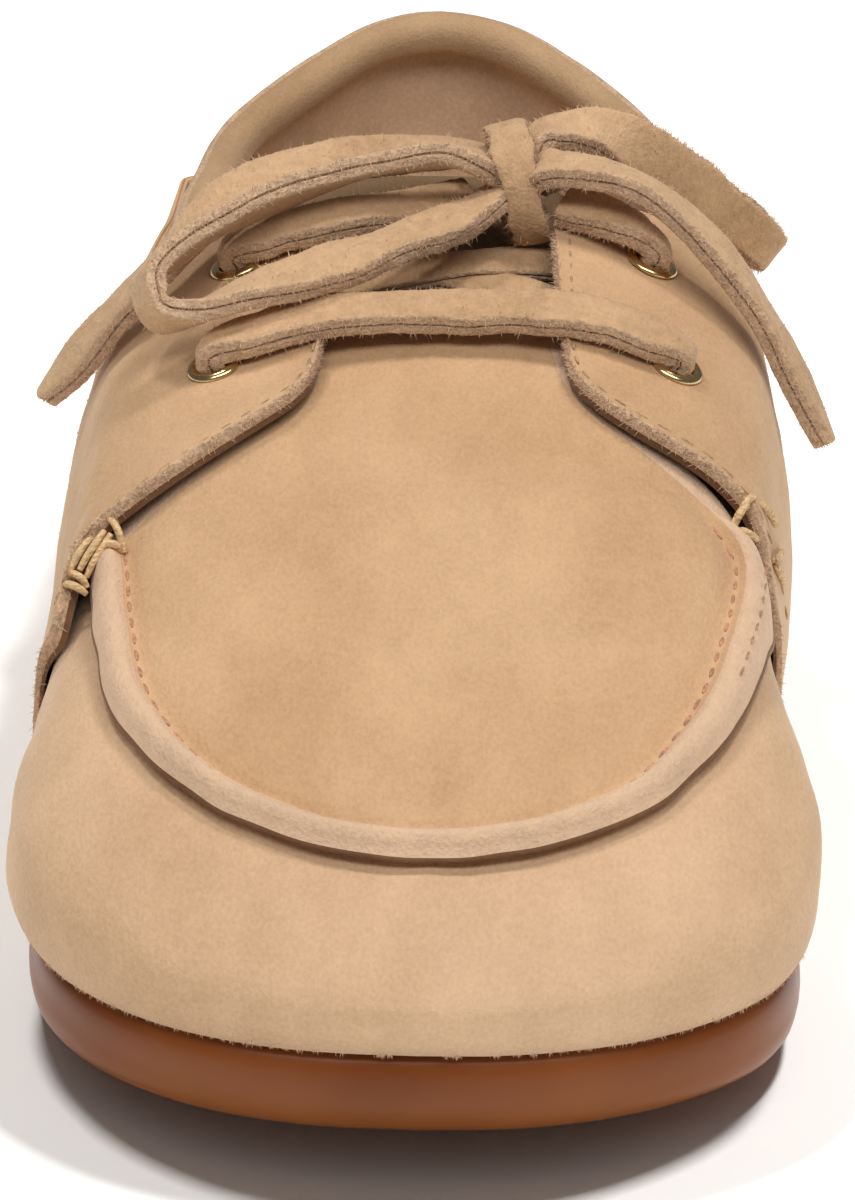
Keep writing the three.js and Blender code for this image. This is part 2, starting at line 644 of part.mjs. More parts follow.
function makeCollarBand() {
  const { deep, thick, from } = COLLAR_BAND;
  const top = collarHeights(0, from);
  const low = collarHeights(deep, from);
  const end = top[top.length - 1];
  const back = end.y + COLLAR_BEHIND.reach;
  const behind = [{ y: back, z: end.z - deep }, { y: back, z: end.z + COLLAR_BEHIND.rise }];
  const band = sidePrism([...low, ...behind, ...top.reverse()]);
  return form(-WALL - GAP).subtract(form(-WALL - GAP - thick)).intersect(band);
}

function makeTongue() {
  const { half, front, back, corner, round, thick } = TONGUE;
  const left = THROAT.centre - half;
  const right = THROAT.centre + half;
  const outline = [
    { x: left, y: front },
    { x: right, y: front },
    { x: right, y: back - corner },
    { x: right - round * corner, y: back - round * corner },
    { x: right - corner, y: back },
    { x: left + corner, y: back },
    { x: left + round * corner, y: back - round * corner },
    { x: left, y: back - corner },
  ];
  const shell = form(-WALL - GAP).subtract(form(-WALL - GAP - thick));
  return shell.intersect(planPrism(outline, THROAT.floor, SKY));
}

function soleEdge(station, side, inset) {
  return outlinePoint(station, side, 0, SOLE_EDGE * tuckAt(station, side) + inset);
}

function makeOutsole() {
  const rings = stations(0, STATIONS.outsole).map((station) => {
    const low = soleBottom(station);
    const high = soleTop(station);
    const at = (side) => (row) => {
      const p = soleEdge(station, side, row.inset);
      return new THREE.Vector3(p.x, p.y, mix(low, high, row.share));
    };
    const down = [...SOLE_SIDE].reverse().map(at(1));
    const up = SOLE_SIDE.map(at(-1));
    return [...up, ...down];
  });
  return loft(rings);
}

function makeInsole() {
  const { thick, clear } = INSOLE;
  const rings = stations(0, STATIONS.insole).map((station) => {
    const edge = (side, lift) => {
      const p = outlinePoint(station, side, 0, tuckAt(station, side) + WALL + clear);
      return new THREE.Vector3(p.x, p.y, soleTop(station) + GAP + lift);
    };
    return [edge(-1, 0), edge(-1, thick), edge(1, thick), edge(1, 0)];
  });
  return loft(rings);
}

function makeEyelet(eyelet) {
  const { point, normal } = eyeletSeat(eyelet);
  const { hole, barrel, flange, low, seat, high, sides } = EYELET;
  const profile = [
    [hole, low],
    [barrel, low],
    [barrel, seat],
    [flange, seat],
    [flange, seat + 0.5 * high],
    [mix(barrel, flange, 0.4), seat + high],
    [mix(hole, barrel, 0.5), seat + 0.9 * high],
    [hole, seat + 0.3 * high],
    [hole, low],
  ];
  const geometry = new THREE.LatheGeometry(profile.map(([r, h]) => new THREE.Vector2(r, h)), sides);
  geometry.applyQuaternion(new THREE.Quaternion().setFromUnitVectors(new THREE.Vector3(0, 1, 0), normal));
  geometry.translate(point.x, point.y, point.z);
  return solidOf(geometry);
}

// Strap of a flat section along a run of points; each row of the run gives the direction of its width.
function strap(rows, wide, thick, steps) {
  const middle = smoothCurve(rows.map((row) => new THREE.Vector3(row.x, row.y, row.z)));
  const across = smoothCurve(rows.map((row) => new THREE.Vector3(row.ax, row.ay, row.az)));
  const w = wide / 2;
  const t = thick / 2;
  const c = Math.min(LACE.corner, t * LACE.round);
  const upper = [[w, t - c], [w - c, t], [c - w, t], [-w, t - c]];
  const section = [...upper, ...upper.map(([a, b]) => [-a, -b])];
  const rings = [];
  for (let i = 0; i <= steps; i += 1) {
    const at = middle.getPoint(i / steps);
    const tangent = middle.getTangent(i / steps);
    const width = across.getPoint(i / steps);
    width.addScaledVector(tangent, -width.dot(tangent)).normalize();
    const normal = new THREE.Vector3().crossVectors(tangent, width);
    rings.push(section.map(([a, b]) => at.clone().addScaledVector(width, a).addScaledVector(normal, b)));
  }
  const shrink = (ring) => {
    const centre = ring.reduce((sum, p) => sum.add(p), new THREE.Vector3()).divideScalar(ring.length);
    return ring.map(() => centre.clone());
  };
  return loft([shrink(rings[0]), ...rings, shrink(rings[steps])]);
}

// Rows of a strap that lies over the last.
function lifted(rows) {
  return rows.map(({ x, y, lift }) => {
    const { point, normal } = surfaceAt(x, y, lift);
    const across = new THREE.Vector3(0, 1, 0).addScaledVector(normal, -normal.y).normalize();
    return { x: point.x, y: point.y, z: point.z, ax: across.x, ay: across.y, az: across.z };
  });
}

function makeCross() {
  const { wide, thick, lift, front, back, half, steps } = LACE_CROSS;
  const strand = (side) => {
    const shares = [-1, -0.5, 0, 0.5, 1];
    const rows = shares.map((share) => ({
      x: THROAT.centre + side * half * share,
      y: mix(front, back, (share + 1) / 2),
      lift,
    }));
    return strap(lifted(rows), wide, thick, steps);
  };
  return strand(1).add(strand(-1));
}

function makeKnot() {
  const geometry = new THREE.SphereGeometry(1, KNOT.sides, KNOT.rings);
  geometry.scale(KNOT.wide, KNOT.deep, KNOT.high);
  geometry.rotateX(-THREE.MathUtils.degToRad(KNOT.tip));
  geometry.translate(KNOT.x, KNOT.y, KNOT.z);
  return solidOf(geometry);
}

// Point of the last's side at a height, and its outward normal.
function sideAt(y, height, side) {
  const station = y - TOE_Y;
  let low = 0;
  let high = BULGE_AT;
  for (let i = 0; i < HALVINGS; i += 1) {
    const middle = (low + high) / 2;
    if (formPoint(station, side * middle, 0).z > height) low = middle;
    else high = middle;
  }
  const point = formPoint(station, side * low, 0);
  const { along, across } = slopesAt(station, side * low, 0);
  const normal = along.cross(across).normalize();
  if (normal.x * side < 0) normal.negate();
  return { point, normal };
}

function makeThong(side) {
  const rows = THONG_LINE.map(({ at, height }) => {
    const { point, normal } = sideAt(at, height, side);
    const seat = point.addScaledVector(normal, THONG.clear + THONG.thick / 2);
    return { x: seat.x, y: seat.y, z: seat.z, ax: -normal.z * side, ay: 0, az: Math.abs(normal.x) };
  });
  return strap(rows, THONG.wide, THONG.thick, THONG.steps);
}

const group = new THREE.Group();

function add(name, solid, finish) {
  const made = solid.getMesh();
  const geometry = new THREE.BufferGeometry();
  geometry.setAttribute("position", new THREE.BufferAttribute(new Float32Array(made.vertProperties), 3));
  geometry.setIndex(new THREE.BufferAttribute(new Uint32Array(made.triVerts), 1));
  geometry.computeVertexNormals();
  const material = new THREE.MeshStandardMaterial(finish);
  const mesh = new THREE.Mesh(geometry, material);
  mesh.name = name;
  group.add(mesh);
}

// A strap of the lace, with its number of steps.
function addLace(name, rows, steps) {
  add(name, strap(rows, LACE.wide, LACE.thick, steps), FINISHES.lace);
}

add("outsole", makeOutsole(), FINISHES.gum);
add("insole", makeInsole(), FINISHES.lining);
add("upper", makeUpper(), FINISHES.suede);
add("apron", makeApron(), FINISHES.suede);
add("tongue", makeTongue(), FINISHES.suede);
add("quarter_lateral", makeQuarter(-1), FINISHES.suede);
add("quarter_medial", makeQuarter(1), FINISHES.suede);
add("collar_band", makeCollarBand(), FINISHES.suede);
EYELETS.forEach((eyelet) => add(eyelet.name, makeEyelet(eyelet), FINISHES.brass));
addLace("lace_bar", lifted(LACE_BAR), 12);
add("lace_cross", makeCross(), FINISHES.lace);
addLace("lace_stay_lateral", lifted(LACE_STAYS.lateral), 7);
addLace("lace_stay_medial", lifted(LACE_STAYS.medial), 6);
add("lace_knot", makeKnot(), FINISHES.lace);
addLace("lace_loop_lateral", LOOP_LATERAL, 26);
addLace("lace_loop_medial", LOOP_MEDIAL, 22);
addLace("lace_end_lateral", END_LATERAL, 12);
addLace("lace_end_medial", END_MEDIAL, 12);
add("thong_lateral", makeThong(-1), FINISHES.lace);
add("thong_medial", makeThong(1), FINISHES.lace);

export default group;
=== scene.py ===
"""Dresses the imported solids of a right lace-up moccasin shoe in suede, gum rubber, brass and strap laces.

Sizes are in millimetres inside the shape functions and become metres when a mesh is made.
The toe points to -Y, the heel to +Y, the inner (medial) side to +X, and +Z is up from the floor.
"""

import math

import bpy
import numpy as np
from mathutils import Matrix, Vector, kdtree, noise


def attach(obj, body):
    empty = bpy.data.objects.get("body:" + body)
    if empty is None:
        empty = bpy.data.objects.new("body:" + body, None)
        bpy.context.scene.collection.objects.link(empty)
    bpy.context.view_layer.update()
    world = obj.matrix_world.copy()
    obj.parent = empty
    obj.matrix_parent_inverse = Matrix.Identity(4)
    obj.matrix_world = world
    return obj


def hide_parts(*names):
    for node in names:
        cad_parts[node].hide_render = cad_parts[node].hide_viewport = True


bl_info = {
    "name": "Moccasin shoe",
    "version": (1, 0, 0),
    "blender": (4, 5, 0),
    "location": "View3D > Sidebar > Shoe",
    "description": "Builds a suede lace-up moccasin over its packed solids",
    "category": "Object",
}

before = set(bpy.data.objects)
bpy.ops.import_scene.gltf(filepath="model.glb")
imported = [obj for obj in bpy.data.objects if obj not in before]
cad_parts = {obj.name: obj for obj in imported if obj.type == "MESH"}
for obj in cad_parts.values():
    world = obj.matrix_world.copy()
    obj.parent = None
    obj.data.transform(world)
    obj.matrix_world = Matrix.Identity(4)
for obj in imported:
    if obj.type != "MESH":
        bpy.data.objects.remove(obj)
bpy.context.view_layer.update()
MM = 0.001
BODY = "root"


def table(names, *rows):
    """Named columns of a short table, as arrays."""
    return dict(zip(names.split(), np.array(rows, float).T))


# The last, a row for each section from the toe
LENGTH = 256.0
TOE_Y = -LENGTH / 2
WALL = 2.0
GAP = 0.3
OVERLAY = 2.0
SECTIONS = table(
    "at lateral medial ridge bulge square shift swing",
    (0, 46.2, 45.2, 26.5, 20.5, 3, 1, 0),
    (20, 48, 48, 32.3, 20, 3, 1, 0),
    (42, 48.9, 46.6, 41, 19.5, 3.1, 1, 0),
    (58, 47.4, 44.4, 47.2, 19.5, 3.1, 1.1, 0),
    (75, 46.4, 42.8, 53.5, 20.5, 3.1, 1.3, 0),
    (95, 46.8, 45, 60, 21.5, 2.8, 1.6, 0),
    (112, 47.4, 46.6, 64.3, 22.5, 2.6, 1.6, 0),
    (133, 47.6, 46.9, 68.8, 23.5, 2.5, 1.5, 0.1),
    (165, 43, 41.4, 76, 25, 2.5, 1, 0.5),
    (205, 38, 37.6, 85, 26, 2.6, 0.3, 1.1),
    (256, 31, 33, 90, 26, 2.7, 0, 1.2),
)
TUCKS = table(
    "at lateral medial",
    (0, 2.6, 2.6),
    (20, 3.4, 2.9),
    (42, 4.6, 3.2),
    (75, 4.4, 3),
    (95, 4.4, 4),
    (112, 4.8, 5.2),
    (133, 6, 6.5),
    (165, 5.5, 6),
    (205, 4, 4),
)
TOE_ROUND = (48.0, 2.35)
TOE_TOP = (22.0, 2.3)
HEEL_ROUND = (40.0, 1.9)
HEEL_LEAN = {"from": 150.0, "amount": 5.0, "low": 26.0, "high": 66.0}
# The wall's tuck starts behind the tip. Around runs from 0 at the ridge to 1 at the foot, widest in between.
TIP = 6.0
BULGE_AT = 0.78

# Fineness of the numeric work: halvings of a search, points between a curve's own points, and the steps that
# probe a normal, which points away from a core at a height inside the shoe
HALVINGS = 32
CURVE_STEPS = 24
PROBE = {"station": 0.5, "around": 0.006, "core": 24.0}
# Points closer than this are made one; the shift keeps shared points off the rounding's borders
WELD = 0.002
WELD_SHIFT = 0.137

# Collar line seen from the side, and the throat slot under the quarters
COLLAR_LINE = table(
    "at height",
    (-4, 74),
    (6, 69.5),
    (14, 65.5),
    (28, 60),
    (45, 56.3),
    (65, 54.5),
    (85, 54.8),
    (102, 57),
    (114, 60.8),
    (121, 64.8),
    (127, 67.4),
)
THROAT = {"centre": 1.5, "half": 25.0, "front": -26.0, "round": 18.0, "back": 20.0}

# Dressed wall: rows and columns, the groove under the apron's edge, soft lumps and the rim's bulge
WALL_GRID = (190, 46)
WALL_GROOVE = {"deep": 0.5, "wide": 1.7, "points": 160, "skip": 6}
WALL_LUMPS = {"large": 17.0, "small": 6.0, "share": 0.4, "layer": 7.0, "most": 0.12}
WALL_RIM = 0.35
# Soft troughs of wear on the wall: two ends, width and depth of each
CREASES = (
    ((-44, -88, 30), (-49, -84, 17), 3.2, 0.35),
    ((-43, -78, 34), (-49, -72, 20), 2.6, 0.3),
    ((43, -84, 32), (47, -78, 18), 3.0, 0.35),
    ((-40, 22, 46), (-46, 16, 26), 3.4, 0.45),
    ((-36, 48, 46), (-43, 40, 28), 4.0, 0.4),
    ((41, 24, 46), (46, 16, 26), 3.4, 0.45),
    ((37, 46, 46), (43, 42, 28), 4.0, 0.4),
    ((-20, 118, 44), (-27, 108, 30), 4.0, 0.35),
    ((24, 116, 42), (30, 104, 30), 4.0, 0.35),
)
# A trough fades to its ends and has a low bank beside it
CREASE_FADE = {"start": 0.12, "run": 0.76}
CREASE_BANK = {"high": 0.35, "off": 1.9}

# Padded collar round the heel: its first station, its thinner ends, its swelling and the opening's middle
COLLAR = {"from": 140.0, "steps": 170, "sides": 30, "thin": 0.45, "ends": 0.08, "swell": 0.07, "long": 14.0}
COLLAR_CENTRE = (-1.8, -3.0)
COLLAR_MIDDLE = (0.0, 60.0, 0.0)

# Tongue under the lace, narrowing to a round back edge
TONGUE = {"front": -40.0, "back": 21.0, "half": 22.0, "narrow": 0.45, "thick": 2.4, "rim": 0.2}
TONGUE_ROUND = {"from": 10.0, "long": 11.6}
TONGUE_GRID = (60, 40)

# Sole: its edge, the lift of the toe, its thickness along the shoe and the profile of its side
SOLE_EDGE = 0.58
SPRING = {"toe": 5.4, "reach": 90.0, "power": 1.4}
SOLE = {"forefoot": 9.6, "toe_top": 5.6, "toe_power": 1.5, "raise": 4.4, "from": 95.0, "to": 210.0}
ARCH = {"from": 116.0, "to": 184.0, "rise": 2.4}
HEEL_BEVEL = {"from": 240.0, "rise": 1.6}
SOLE_SIDE = table(
    "share inset",
    (0, 3.2),
    (0.01, 2.4),
    (0.04, 1.5),
    (0.09, 0.85),
    (0.16, 0.42),
    (0.26, 0.15),
    (0.4, -0.05),
    (0.55, -0.1),
    (0.7, 0),
    (0.82, 0.25),
    (0.91, 0.6),
    (0.97, 1.1),
    (1, 1.9),
)

# Insole: inset and height of its side, from below
INSOLE_SIDE = ((0.0, 0.05), (0.0, 2.2), (0.5, 2.8), (1.4, 3.0), (5.0, 2.9))
INSOLE_CLEAR = 0.9
INSOLE_ROWS = 90
SOLE_ROWS = 150
TREAD_COLUMNS = 40

# Apron outline in plan, as half widths from its centre line
APRON_CENTRE = 0.5
APRON_OUTLINE = table(
    "at lateral medial",
    (-111.6, 0, 0),
    (-110.9, 7.5, 7.5),
    (-108.9, 14.5, 14.5),
    (-103, 24.6, 24.6),
    (-95, 32, 31.6),
    (-86.5, 36.8, 36.3),
    (-76, 39, 39.2),
    (-67, 40.2, 41),
    (-57, 40.4, 41.4),
    (-49, 32, 36),
    (-42, 24, 27),
    (-34, 19, 20),
    (-24, 17, 18),
)
# Rolled lip of the apron: height above the last by distance in from the edge
LIP = table(
    "at rise",
    (0, 1.65),
    (0.3, 2.65),
    (0.8, 3.55),
    (1.5, 4.05),
    (2.4, 4.0),
    (3.3, 3.4),
    (4.0, 2.55),
    (4.5, 2.05),
    (5.1, 1.95),
    (5.9, 2.25),
    (7.4, 2.6),
    (10, 2.6),
    (16, 2.35),
)
LIP_END = {"middle": -59.0, "skew": 3.0, "reach": 30.0, "long": 6.0}
# Width of the lip out to its stitches: at the toe and at the sides
LIP_WIDE = {"toe": 2.9, -1: 4.2, 1: 4.8, "from": -109.0, "to": -84.0, "drawn": 4.6}
# The lip's own width is stretched to fit up to this depth, and then over this run no more
LIP_STRETCH = {"to": 5.0, "run": 7.0}
# Hollow under the lip, low waves of the lip, wander of the edge in plan and lumps of the hide
LIP_HOLLOW = {"high": 0.65, "reach": 2.5}
LIP_WAVE = {"high": 0.22, "long": 8.0, "reach": 4.0, "layer": 9.0}
EDGE_WANDER = {"wide": 0.3, "long": 7.0, "reach": 3.0, "layer": 3.0}
APRON_LUMPS = {"long": 19.0, "from": 12.0, "layer": 1.0}
APRON_THIN = 0.25
UNDER_GAP = 0.1
# Apron grid: steps along its edge, rings at depths in from the edge, and rings on to the spine
APRON_STEPS = 190
APRON_RINGS = (0, 0.3, 0.7, 1.2, 1.8, 2.4, 3, 3.6, 4.1, 4.5, 5, 5.5, 6.2, 7.2, 8.5)
SPINE_RINGS = 16
SPINE = {"from": -84.0, "to": -24.0, "power": 1.4}
OUTLINE_STEPS = 1600

# Edges of the quarters in plan: out from the middle plane, at Y. Each ends at the foot of the wall.
QUARTER_FRONT = {
    -1: ((12.8, -30), (13.4, -37.5), (15.8, -42.6), (19.6, -46.2), (24.2, -49.8), (29, -53.2), (33.5, -56),
         (38, -58.6), (41.2, -62), (43.2, -67)),
    1: ((16.4, -30), (17.6, -37.5), (20.8, -41.8), (25.6, -45.2), (30.3, -47.2), (35, -49), (39.2, -51.6),
        (41.7, -53.2), (43.6, -55)),
}
QUARTER_BACK = {
    -1: ((13.2, -2), (17, 3), (25, 7), (31, 5.5), (38.5, -1), (44, -7)),
    1: ((15.6, -2), (19, 3), (27, 7), (33, 5.5), (41, -1), (45, -7)),
}
QUARTER_FOOT = {-1: (72.0, 118.0), 1: (82.0, 118.0)}
QUARTER_GRID = (130, 74)
QUARTER_CROWDING = 0.7
# Height that stands for the way around, and the way the edges turn to the foot of the wall
QUARTER_TALL = 80.0
QUARTER_TURN = {"station": 0.4, "around": 0.5}
QUARTER_LIFT = 2.3
# Where a quarter rises over the apron: the share around, the stations, and the runs over which it fades
QUARTER_RISE = {"around": 0.4, "spread": 0.16, "front": 40.0, "back": 150.0, "run": 20.0}
# Dressed outside: a little fuller than the solid, skived thin down the side of the shoe
SKIVE = {"full": 0.3, "off": 1.1, "around": 0.5, "spread": 0.2}
# Curl of the front edge on each side, how far in it reaches and where around it fades
EDGE_CURL = {-1: 1.0, 1: 0.4}
CURL_FADE = {"share": 0.15, "around": 0.4, "spread": 0.12}
QUARTER_LUMPS = {"large": 15.0, "small": 5.0, "share": 0.5, "large_layer": 3.0, "small_layer": 5.0}
QUARTER_RIM = 0.15

EYELETS = {
    "eyelet_lateral_front": (-26.8, -33.4),
    "eyelet_lateral_back": (-25.1, -9.8),
    "eyelet_medial_front": (31.1, -30.6),
    "eyelet_medial_back": (28.9, -6.4),
}
# Rolled eyelet: radius and height
EYELET_PROFILE = (
    (2.05, -1.8),
    (2.05, -0.4),
    (2.15, 0.35),
    (2.6, 0.72),
    (3.2, 0.6),
    (3.62, 0.2),
    (3.55, -0.1),
    (2.9, -0.12),
    (2.7, -0.6),
    (2.7, -1.8),
)
EYELET_STEPS = 22
EYELET_SIDES = 36
# Directions that no eyelet, thread or fibre points along, from which their rings are turned
EYELET_ASIDE = (0.0, 1.0, 0.2)
THREAD_ASIDE = (0.31, 0.42, 0.85)
FIBRE_ASIDE = (0.37, 0.51, 0.78)

# Routes of the lace, a row for each point, with the direction of the strap's width
LACE_WIDE = 6.8
LACE_THICK = 3.0
# Strap of two layers: soft corners, the groove in a cut edge, and a slow twist along the strap
STRAP = {"soft": 0.45, "groove": 0.5, "slit": 0.2, "twist": 0.3, "twist_long": 13.0, "edge_from": 0.8}
# Wear of the cut edges: steps of a long and a short noise, and the short one's share
WORN = {"long": 0.13, "short": 0.71, "share": 0.6, "layer": 0.5}
# Weight of the width's direction beside the line's own points where both are smoothed together
ACROSS_WEIGHT = 10.0
# A strap goes down into an eyelet through these heights, in place of its last points, and is pinched there
HOLE_HEIGHTS = (1.9, 0.4, -1.6)
HOLE_POINTS = 4
PINCH = {"from": 0.8, "run": 4.6, "narrow": 0.5, "thick": 1.25}
# Points along each strap's route over the last, and along the finished strap
BAR_STEPS = (30, 120)
STAY_STEPS = (24, 70)
CROSS_STEPS = (5, 40)
# Noise layers of the straps
SEEDS = {"bar": 1.0, "stay": 2.0, "cross": 3.0, "bow": 10.0, "knot": 21.0, "thong": 31.0}
BAR_ROUTE = table(
    "x y lift",
    (-26.8, -34, 7.6),
    (-21.2, -32.2, 7.2),
    (-12.5, -29, 6.5),
    (-5, -27.6, 5.8),
    (1.3, -27.1, 5.6),
    (8.8, -27.1, 5.8),
    (16.4, -27.6, 6.5),
    (23.9, -29.3, 7.2),
    (31.1, -31.4, 7.6),
)
CROSS = {"lift": -1.0, "front": -13.0, "back": -1.0, "half": 20.0, "wide": 5.8, "thick": 1.9}
CROSS_RISE = {"medial": 0.9, "lateral": -0.1}
STAY_ROUTES = {
    "lateral": table(
        "x y lift", (-25.1, -10, 7.6), (-19, -8.6, 7.2), (-11, -5.4, 6.4), (-3, -0.4, 4.3), (5.4, 4, 3.6)
    ),
    "medial": table("x y lift", (28.9, -6.6, 7.6), (25.4, -5, 7.7), (21, -3, 7.4), (17.4, -1.6, 7)),
}
BOW_ROUTES = {
    "lace_loop_lateral": table(
        "x y z ax ay az",
        (6.2, 0, 78.4, 0, 1, 0),
        (0.8, -1, 79.6, 0, 0.9, -0.35),
        (-8, -3.6, 79, -0.05, 0.86, -0.45),
        (-17, -8, 77.2, -0.1, 0.82, -0.5),
        (-25.2, -14, 75.4, -0.2, 0.76, -0.55),
        (-31.4, -21.4, 73.4, -0.3, 0.64, -0.7),
        (-35.2, -27.6, 71.2, -0.33, 0.63, -0.7),
        (-34, -31.2, 68.2, -0.33, 0.63, -0.7),
        (-29, -32, 68.4, -0.2, 0.85, -0.35),
        (-22.8, -30, 70.2, 0, 0.95, 0),
        (-14.6, -25, 71.4, 0, 1, 0.15),
        (-5.4, -17.4, 72.4, 0.05, 1, 0.1),
        (1.8, -9.6, 72.8, 0, 1, 0.1),
        (6.4, -4.2, 73.6, 0, 1, 0),
    ),
    "lace_loop_medial": table(
        "x y z ax ay az",
        (14.6, 6.4, 80, 0, 1, 0.2),
        (20.6, 8.6, 80.4, 0.1, 0.85, 0.5),
        (26.6, 11.4, 78, 0.3, 0.45, 0.82),
        (32.3, 14.4, 73.8, 0.45, 0.15, 0.86),
        (38, 17, 69, 0.5, 0.05, 0.85),
        (43, 18.8, 64.4, 0.5, 0.05, 0.85),
        (46.2, 20.4, 61, 0.5, 0.15, 0.8),
        (45.8, 23, 59.6, 0.5, 0.2, 0.8),
        (42.2, 22.6, 61.8, 0.5, 0.1, 0.8),
        (36, 20.6, 66.6, 0.5, 0.05, 0.85),
        (29.6, 17.8, 71.2, 0.45, 0.15, 0.86),
        (24, 14.4, 74.4, 0.3, 0.45, 0.82),
        (18.6, 10.6, 76, 0.1, 0.9, 0.4),
        (15.6, 7.6, 75.6, 0, 1, 0.2),
    ),
    "lace_end_medial": table(
        "x y z ax ay az",
        (15.9, -2.8, 78.6, 0, 1, 0),
        (21.8, -3.8, 78.4, 0, 1, 0.05),
        (27.4, -5.2, 76.9, 0.05, 1, 0.1),
        (32.8, -7.4, 73.6, 0.1, 1, 0.1),
        (37.6, -9.6, 69.2, 0.15, 1, 0.1),
        (43.2, -11.8, 61.8, 0.15, 1, 0.1),
        (48, -13, 53.4, 0.2, 1, 0.1),
        (52, -14, 45.4, 0.2, 1, 0.1),
    ),
    "lace_end_lateral": table(
        "x y z ax ay az",
        (5.6, 8, 77, 0, 1, 0),
        (-4.2, 7.8, 77.1, 0, 1, 0),
        (-16.6, 3.4, 76.6, -0.1, 1, 0.2),
        (-26.6, -5.2, 74.4, -0.2, 1, 0.2),
        (-34.2, -12.8, 68.2, -0.15, 1, 0.1),
        (-40.4, -14.6, 61.8, -0.1, 1, 0.1),
        (-45.6, -13.6, 55.2, -0.1, 1, 0.1),
        (-50, -12, 49.4, -0.1, 1, 0.1),
    ),
}
BOW_ENDS = {
    "lace_loop_lateral": "object",
    "lace_loop_medial": "object",
    "lace_end_medial": "bare",
    "lace_end_lateral": "bare",
}
# A loop narrows at its bend, and a free end over its last share
BOW_STEPS = 150
LOOP_BEND = {"narrow": 0.16, "at": 0.5, "spread": 0.12}
END_TAPER = {"tip": 0.35, "share": 0.09}
KNOT = {"x": 11.2, "y": 2.0, "z": 75.2, "wide": 5.0, "deep": 5.6, "high": 6.7, "tip": 35.0, "tuck": 0.6}
# Turn of the knot's strap in degrees, its lean and wander sideways, its changing width and its worn edge
KNOT_TURN = {"from": -75.0, "to": 255.0, "steps": 100}
KNOT_SWAY = {"lean": 1.9, "wander": 0.35, "phase": 0.6}
KNOT_SWELL = {"slow": 0.6, "quick": 0.35}
KNOT_ACROSS = (1.0, 0.0, 0.3)
KNOT_RAGGED = 0.45

THONG = {"wide": 5.0, "thick": 1.4, "clear": 0.2, "sunk": 1.6, "ends": 0.07, "ragged": 0.2, "steps": 70}
THONG_LINE = table("at height", (12, 50), (25, 49.4), (40, 49), (60, 49.2), (76, 51))

# Hand-sewn threads at the quarters' corners: points of each strand
TACK = {"thick": 1.0, "thin": 0.55, "start": 0.1, "power": 0.5, "steps": 26}
TACKS = {
    "lateral": (
        ((-38.4, -57.4, 50.6), (-37.6, -58.6, 50.4), (-36.6, -60.2, 48.6), (-36.3, -60.8, 47.6)),
        ((-36.5, -60.4, 47.4), (-37.4, -61.2, 48.8), (-38.6, -60.6, 48.6), (-39.6, -59.6, 47.4)),
        ((-39.9, -58.2, 48.8), (-41.0, -60.0, 48.4), (-42.2, -61.6, 46.8), (-42.9, -62.2, 45.0)),
        ((-38.8, -59.4, 49.8), (-39.6, -60.8, 49.0), (-40.8, -62.0, 47.4), (-41.6, -62.8, 46.0)),
        ((-38.0, -59.8, 49.6), (-38.9, -61.0, 48.4), (-40.0, -62.2, 46.8), (-40.8, -63.0, 45.2)),
        ((-43.0, -61.8, 44.9), (-42.2, -63.0, 45.6), (-41.2, -63.6, 45.2), (-40.6, -63.8, 44.2)),
        ((-43.6, -62.8, 43.8), (-42.8, -64.2, 44.8), (-41.6, -64.8, 44.6), (-40.6, -64.8, 43.8)),
    ),
    "medial": (
        ((40.2, -49.6, 51.6), (39.4, -51.0, 52.0), (38.2, -52.6, 50.6), (37.4, -53.2, 49.0)),
        ((39.6, -50.2, 50.8), (38.6, -51.8, 51.0), (37.6, -53.0, 49.6), (37.0, -53.6, 48.4)),
        ((37.4, -53.6, 48.4), (38.4, -54.6, 49.2), (39.6, -54.4, 48.6), (40.4, -53.4, 47.6)),
        ((41.0, -49.2, 50.8), (42.2, -48.6, 49.2), (43.2, -47.4, 47.0)),
        ((42.8, -50.8, 43.8), (43.8, -47.4, 43.0), (44.6, -42.0, 41.4)),
        ((43.1, -49.8, 42.9), (43.9, -48.2, 41.0), (44.8, -44.4, 38.2)),
    ),
}

# Stitches: length, width and height of each kind, and the round bead that each is pulled from
STITCH_SIZES = {"apron": (2.2, 0.55, 0.42), "rim": (1.7, 0.34, 0.3), "quarter": (1.9, 0.4, 0.3)}
STITCH_BEAD = {"Segments": 8, "Rings": 6, "Radius": 0.5}
NORMAL_WEIGHT = 0.001
# Rows on the apron: share of the lip's width, height above the last, and where they start and stop
APRON_ROW = {"share": 1.0, "rise": 2.05, -1: -60.0, 1: -54.0}
RIM_ROW = {"share": 0.24, "rise": 4.15, "from": -84.0, "to": -58.0}
# Row on a quarter: in from its edge, how much of the curl it rides on, and its run up the inner edge
QUARTER_ROW = {"inset": 1.5, "curl": 0.88, "curl_from": -30.0, "curl_run": 4.0, "inner": 0.2}
QUARTER_ROW_UP = (1, -10, -20)

# Loose fibres, and how many stand on which faces of which pieces
NAP = {"seed": 7, "short": 0.3, "long": 1.15, "thick": 0.065, "wild": 0.6, "sunk": 0.05}
# Along the foot of the wall it hangs, is shorter and reaches up to a height; on a strap's face it is sparse
NAP_FOOT = {"hang": 0.7, "short": 0.55, "high": 2.0}
NAP_FACE = 0.03
NAP_PIECES = {
    "upper_suede": (9000, "foot"),
    "quarter_lateral_suede": (2400, "rim"),
    "quarter_medial_suede": (2400, "rim"),
    "lace_bar_suede": (2600, "edges"),
    "lace_stay_lateral_suede": (1200, "edges"),
    "lace_stay_medial_suede": (1200, "edges"),
    "lace_knot_suede": (1600, "edges"),
    "lace_loop_lateral_suede": (4600, "edges"),
    "lace_loop_medial_suede": (4200, "edges"),
    "lace_end_lateral_suede": (3200, "edges"),
    "lace_end_medial_suede": (3200, "edges"),
}

